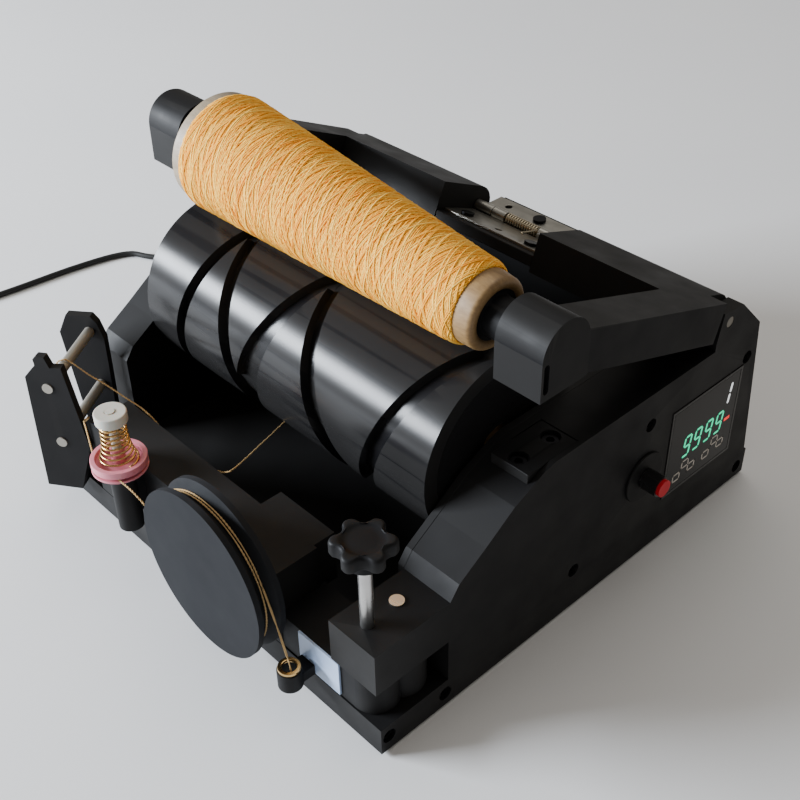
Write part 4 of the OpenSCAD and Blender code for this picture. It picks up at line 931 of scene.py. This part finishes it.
class Panel:
    """The display's face: shares run to the reader's right and up, from its lower left corner."""

    def __init__(self, node):
        low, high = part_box(node)
        self.place = Matrix.Translation(Vector((high.x - TRIM_SUNK, low.y, low.z)))
        self.wide = high.y - low.y
        self.tall = high.z - low.z

    def spot(self, across, up):
        return Vector((across * self.wide, up * self.tall))

    def slab(self, outline, thick):
        return prism([(p.x, p.y) for p in outline], self.place, thick)

    def bar(self, low, high, thick):
        """Upright rectangle between two corners."""
        return self.slab([low, Vector((high.x, low.y)), high, Vector((low.x, high.y))], thick)

    def figure(self, text, corner, size, stroke):
        """Slanted figure of pointed segments."""
        foot = self.spot(*corner)
        wide, tall = self.spot(*size)
        stroke = stroke * self.wide
        bars = []
        for name in FIGURES[text]:
            a, b = (foot + Vector((u * wide + SLANT * v * tall, v * tall)) for u, v in SEGMENTS[name])
            along = (b - a).normalized()
            a, b = a + along * stroke * SEGMENT_CUT, b - along * stroke * SEGMENT_CUT
            side = Vector((-along.y, along.x)) * stroke / 2
            tip = along * stroke * SEGMENT_TIP
            bars.append(self.slab([a - side, b - side, b + tip, b + side, a + side, a - tip], TRIM_THICK))
        return bars

    def key(self, middle):
        """Outline of a key: its top, foot, left and right line."""
        half = self.spot(*KEY_SIZE) / 2
        edge = Vector((KEY_LINE, KEY_LINE)) / 2
        bars = []
        for u1, u2, v1, v2 in ((-1, 1, 1, 1), (-1, 1, -1, -1), (-1, -1, -1, 1), (1, 1, -1, 1)):
            low = self.spot(*middle) + Vector((u1 * half.x, v1 * half.y)) - edge
            high = self.spot(*middle) + Vector((u2 * half.x, v2 * half.y)) + edge
            bars.append(self.bar(low, high, KEY_THICK))
        return bars


def make_display():
    panel = Panel("meter_window")
    digits = []
    for left in DIGITS_LEFT:
        digits += panel.figure("9", (left, DIGIT_FOOT), DIGIT_SIZE, DIGIT_STROKE)
    add_piece("display_count", join(digits), "digit", "root", smooth=False)
    dash = panel.bar(panel.spot(*DASH_LOW), panel.spot(*DASH_HIGH), TRIM_THICK)
    add_piece("display_dash", dash, "digit_red", "root", smooth=False)
    small = panel.figure("1", MODE_AT, MODE_SIZE, MODE_STROKE)
    add_piece("display_mode", join(small), "digit_white", "root", smooth=False)
    keys = []
    for middle in KEYS_AT:
        keys += panel.key(middle)
    add_piece("display_keys", join(keys), "key_line", "root", smooth=False)


# Finishes of the solids that stay, and how far their edges are rounded, in millimetres

NODE_LOOKS = {
    "base_plate": ("black_plastic", 0.5), "rubber_feet": ("rubber_black", 0),
    "right_housing": ("black_plastic", 0.5), "right_inner_plate": ("black_plastic", 0.4),
    "left_side_plate": ("black_plastic", 0.5), "rear_panel": ("black_plastic", 0.4),
    "hinge_back_leaf": ("nickel", 0.15), "hinge_pin": ("barrel", 0.2),
    "body_screws": ("dark_steel", 0.15), "clamp_cap": ("black_plastic", 0.3),
    "clamp_screws": ("dark_steel", 0.2), "torque_tube": ("steel", 0.2),
    "drive_motor": ("steel", 0.3), "axle_bush": ("bronze", 0.2),
    "meter_body": ("gloss_black", 0.25), "meter_window": ("glass_dark", 0.1),
    "speed_pot": ("steel", 0.2), "pot_washer": ("black_plastic", 0.3),
    "control_board": ("board_green", 0), "pivot_pins": ("pin_grey", 0.3),
    "beam_dowel": ("steel", 0.3), "cord_gland": ("rubber_black", 0.3),
    "drum_shell": ("drum_black", 0.35), "drum_end_left": ("drum_black", 0.3),
    "drum_end_right": ("drum_black", 0.3), "drum_bush": ("bronze", 0.2), "drum_hub": ("drum_black", 0.3),
    "arm_right": ("black_plastic", 0.5), "arm_left": ("black_plastic", 0.5),
    "arm_bridge": ("black_plastic", 0.4), "hinge_front_leaf": ("nickel", 0.15),
    "hinge_screws": ("dark_steel", 0.3), "spindle_bushes": ("bronze", 0.2),
    "spindle": ("steel", 0.3), "cone_plugs": ("black_plastic", 0.3),
    "feed_beam": ("grey_plastic", 0.5), "beam_strip": ("blue_strip", 0.15),
    "guide_bracket": ("grey_plastic", 0.4), "guide_rods": ("rod_grey", 0.4),
    "tension_post": ("white_nylon", 0.3), "tension_discs": ("pink_plastic", 0.3),
    "eyelet_arm": ("grey_plastic", 0.3), "eyelet_ring": ("brass", 0.4),
    "counter_wheel": ("wheel_grey", 0.4), "wheel_axle": ("steel", 0.2), "lock_stud": ("steel", 0.3),
    "speed_knob": ("gloss_black", 0.4), "knob_cap": ("red_plastic", 0.4), "tension_nut": ("white_nylon", 0.5),
}
WELD_GAP = 0.002 * MM
ROUNDED_FROM = math.radians(34)


def finish_node(name, look, rounding):
    node = nodes[name]
    for spot in node.material_slots:
        spot.material = looks[look]
    if not rounding:
        return
    weld = node.modifiers.new("weld", "WELD")
    weld.merge_threshold = WELD_GAP
    bevel = node.modifiers.new("bevel", "BEVEL")
    bevel.width = rounding * MM
    bevel.segments = 2
    bevel.limit_method = "ANGLE"
    bevel.angle_limit = ROUNDED_FROM
    bevel.use_clamp_overlap = True
    bevel.face_strength_mode = "FSTR_ALL"
    shade = node.modifiers.new("shade", "WEIGHTED_NORMAL")
    shade.keep_sharp = True
    shade.use_face_influence = True


# Floor

FLOOR_HALF = 4.0


def make_floor():
    look = Look("floor")
    tone = look.ramp(look.noise(scale=3, detail=4), [(0.3, (0.80, 0.80, 0.81)), (0.7, (0.84, 0.84, 0.84))])
    look.set(Base_Color=tone, Roughness=0.65)
    corners = [(u * FLOOR_HALF, v * FLOOR_HALF, 0) for u, v in ((-1, -1), (1, -1), (1, 1), (-1, 1))]
    mesh = bpy.data.meshes.new("floor")
    mesh.from_pydata(corners, [], [(0, 1, 2, 3)])
    mesh.materials.append(look.material)
    floor = bpy.data.objects.new("floor", mesh)
    scene.collection.objects.link(floor)


make_looks()
make_camera()
make_light()
make_floor()
make_cord()
make_yarn_package()
make_paper_cone()
make_tension_spring()
make_hinge_coil()
make_yarn_run()
make_star_knob()
make_display()
for node_name, (node_look, node_rounding) in NODE_LOOKS.items():
    finish_node(node_name, node_look, node_rounding)
